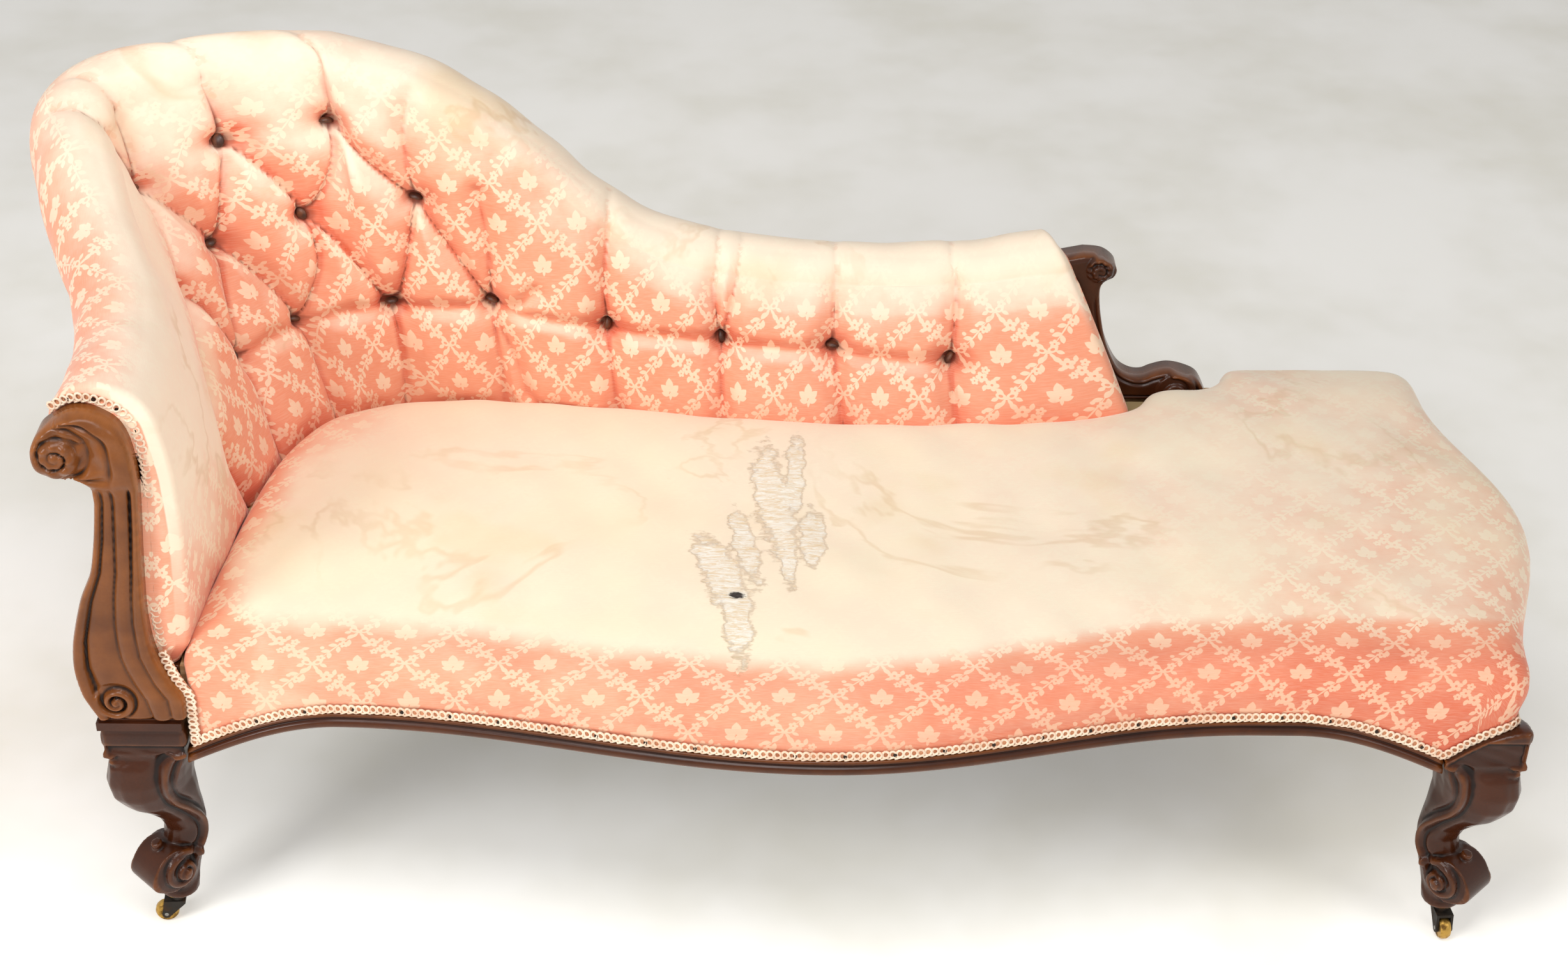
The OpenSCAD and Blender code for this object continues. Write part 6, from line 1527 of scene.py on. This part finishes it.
first_part = (np.arange(len(aside)) < len(aside) // 2) | (level_share > 0.72)
upper_loops, upper_band = facing_run("facing_gimp_loops", first_part & (level_share > 0.70), 7)
lower_loops, lower_band = facing_run("facing_gimp_end_loops", (level_share < 0.36) & ~first_part, 9)
corner_line = even_line([(-0.6690, -0.2995, 0.3060), (-0.6690, -0.2995, 0.3400), (-0.6690, -0.2995, 0.3680),
                         (-0.6745, -0.2995, 0.3800), (-0.6815, -0.2990, 0.3940), (-0.6885, -0.2965, 0.4100),
                         (-0.6950, -0.2925, 0.4270)], 0.003)
corner_outs = np.tile((0, -1.0, 0), (len(corner_line), 1))
corner_ups = directions(np.cross(np.gradient(corner_line, axis=0), corner_outs))
corner_loops = braid("corner_gimp_loops", corner_line, corner_outs, silk, 8)
corner_band = braid_backing("corner_gimp_band", corner_line, corner_outs, corner_ups, 0.0050)
# The band is coral-brown, darker than the cream loops: painted shade in the gaps between the loops
band_painted_shade, tree, shader = new_finish("gimp band silk", Roughness=0.8)
soil = noise(tree, object_place(tree), 60.0, 3.0, 0.6)
tree.links.new(blend(tree, steps(tree, soil, 0.35, 0.7), in_light("D79A74"), in_light("B3704C")),
               shader.inputs["Base Color"])
for band in (front_band, foot_band, upper_band, lower_band, corner_band):
    band.data.materials.append(band_painted_shade)
    rides_on_couch(band, "gimp")
for loops, node in ((front_loops, "front_gimp"), (foot_loops, "foot_end_gimp"), (upper_loops, "facing_gimp")):
    rides_on_couch(loops, "gimp", node)
for loops in (lower_loops, corner_loops):
    rides_on_couch(loops, "gimp")


# Tacks: small blued steel tacks through the gimp, and a close row of bare ones
# down the facing's inner edge where the gimp is missing.
blued = metal_finish("blued tack steel", "2A2420", "4A3427", 0.42, 0.8)
dress(blued, "gimp_tacks")


def turned_unit(name, section, sides=12):
    """A round unit from (radius, height) pairs, from its foot to its top."""
    turns = np.linspace(0, 2 * np.pi, sides, endpoint=False)
    points, faces = [], []
    for r, h in section:
        points += [(r * math.cos(a), r * math.sin(a), h) for a in turns]
    for k in range(len(section) - 1):
        for i in range(sides):
            j = (i + 1) % sides
            faces.append((k * sides + i, k * sides + j, (k + 1) * sides + j, (k + 1) * sides + i))
    faces += [tuple(range(sides))[::-1], tuple(range((len(section) - 1) * sides, len(section) * sides))]
    return mesh_piece(name, points, faces)


tack_unit = turned_unit("tack_unit", [(0.0005, -0.002), (0.0005, 0.0), (0.0021, 0.0001), (0.0022, 0.0004),
                                      (0.0017, 0.0010), (0.0008, 0.0013)], 8)
bare = (level_share <= 0.71) & (level_share >= 0.36) & ~first_part
bare_line = on_facing(aside[bare, 0] - 2.2, np.full(bare.sum(), 0.6), aside[bare, 1])
length = lengths_along(bare_line)
spots = spaced(bare_line, length, np.arange(0.002, length[-1], 0.0068))
spots += np.random.default_rng(5).normal(0, 0.0008, spots.shape) * (1, 0, 1)
tack_ways, tack_outs = (np.tile(way, (len(spots), 1)) for way in ((1.0, 0, 0), (0, -1.0, 0)))
bare_tacks = repeated("bare_tacks", spots, tack_ways, tack_outs, tack_unit, blued, 4, 0.12, 0.25)
rides_on_couch(bare_tacks, "tack_steel")


# Buttons: fifteen domed buttons in worn dark brown leather, pulled deep into
# the back so that the pleats run from one to the next.
def node_lumps(name):
    """Places of a node's separate solids, each as its own list of points."""
    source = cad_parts[name].data
    body = bmesh.new()
    body.from_mesh(source)
    bmesh.ops.remove_doubles(body, verts=body.verts, dist=1e-6)
    body.verts.ensure_lookup_table()
    seen, lumps = set(), []
    for start in body.verts:
        if start.index in seen:
            continue
        stack, lump = [start], []
        seen.add(start.index)
        while stack:
            v = stack.pop()
            lump.append(tuple(v.co))
            for e in v.link_edges:
                w = e.other_vert(v)
                if w.index not in seen:
                    seen.add(w.index)
                    stack.append(w)
        lumps.append(np.array(lump))
    body.free()
    return lumps


leather, tree, shader = new_finish("button leather", Roughness=0.45)
place = object_place(tree)
hide = noise(tree, place, 260.0, 4.0, 0.65)
rub = noise(tree, place, 70.0, 2.0, 0.5)
tree.links.new(blend(tree, steps(tree, rub, 0.4, 0.7), in_light("3A1D12"), in_light("6A3F28")),
               shader.inputs["Base Color"])
tree.links.new(steps(tree, hide, 0.3, 0.7, 0.36, 0.62), shader.inputs["Roughness"])
emboss(tree, shader, 0.5, 0.0004, hide)
dome = [(0.0040, -0.0030), (0.0078, -0.0022), (0.0090, -0.0004), (0.0088, 0.0012), (0.0076, 0.0028),
        (0.0056, 0.0040), (0.0030, 0.0047), (0.0010, 0.0048)]
button_unit = turned_unit("button_unit", dome, 20)
centres, ways = [], []
for lump in node_lumps("buttons"):
    centre = lump.mean(0)
    _, _, axes = np.linalg.svd(lump - centre, full_matrices=False)
    facing_out = axes[2] if np.dot(axes[2], np.array([0.1, -0.4, 1.1]) - centre) > 0 else -axes[2]
    centres.append(centre)
    ways.append(facing_out)
centres, ways = np.array(centres), np.array(ways)
sideways = np.cross(ways, (0, 0, 1.0))
leather_buttons = repeated("leather_buttons", centres, sideways, ways, button_unit, leather, 6, 0.03, 0.14)
rides_on_couch(leather_buttons, "button_leather", "buttons")
for unit in (loop_unit, tack_unit, button_unit):
    bpy.data.objects.remove(unit)


# Outside back and outside head end: plain panels of the same brocade, drawn
# tight over the frame and slip-stitched at their edges.
outside_brocade = brocade_finish("brocade on the outside", *back_repeat, flat=True)
dress(outside_brocade, "outside_back_cover", "outside_head_cover")


# Castors: cast iron horns, brass wheels and sockets with brown tarnish, and a
# steel axle pin in each.
brass = metal_finish("castor brass", "B8924A", "5E4322", 0.34)
iron = metal_finish("castor iron", "34302C", "4F3E31", 0.55, 0.85)
axle = metal_finish("axle steel", "8E8C88", "5B4A3C", 0.34)
for corner in ("front_left", "front_right", "rear_left", "rear_right"):
    dress(brass, "castor_socket_" + corner, "castor_wheel_" + corner)
    dress(iron, "castor_horn_" + corner)
    dress(axle, "castor_axle_" + corner)
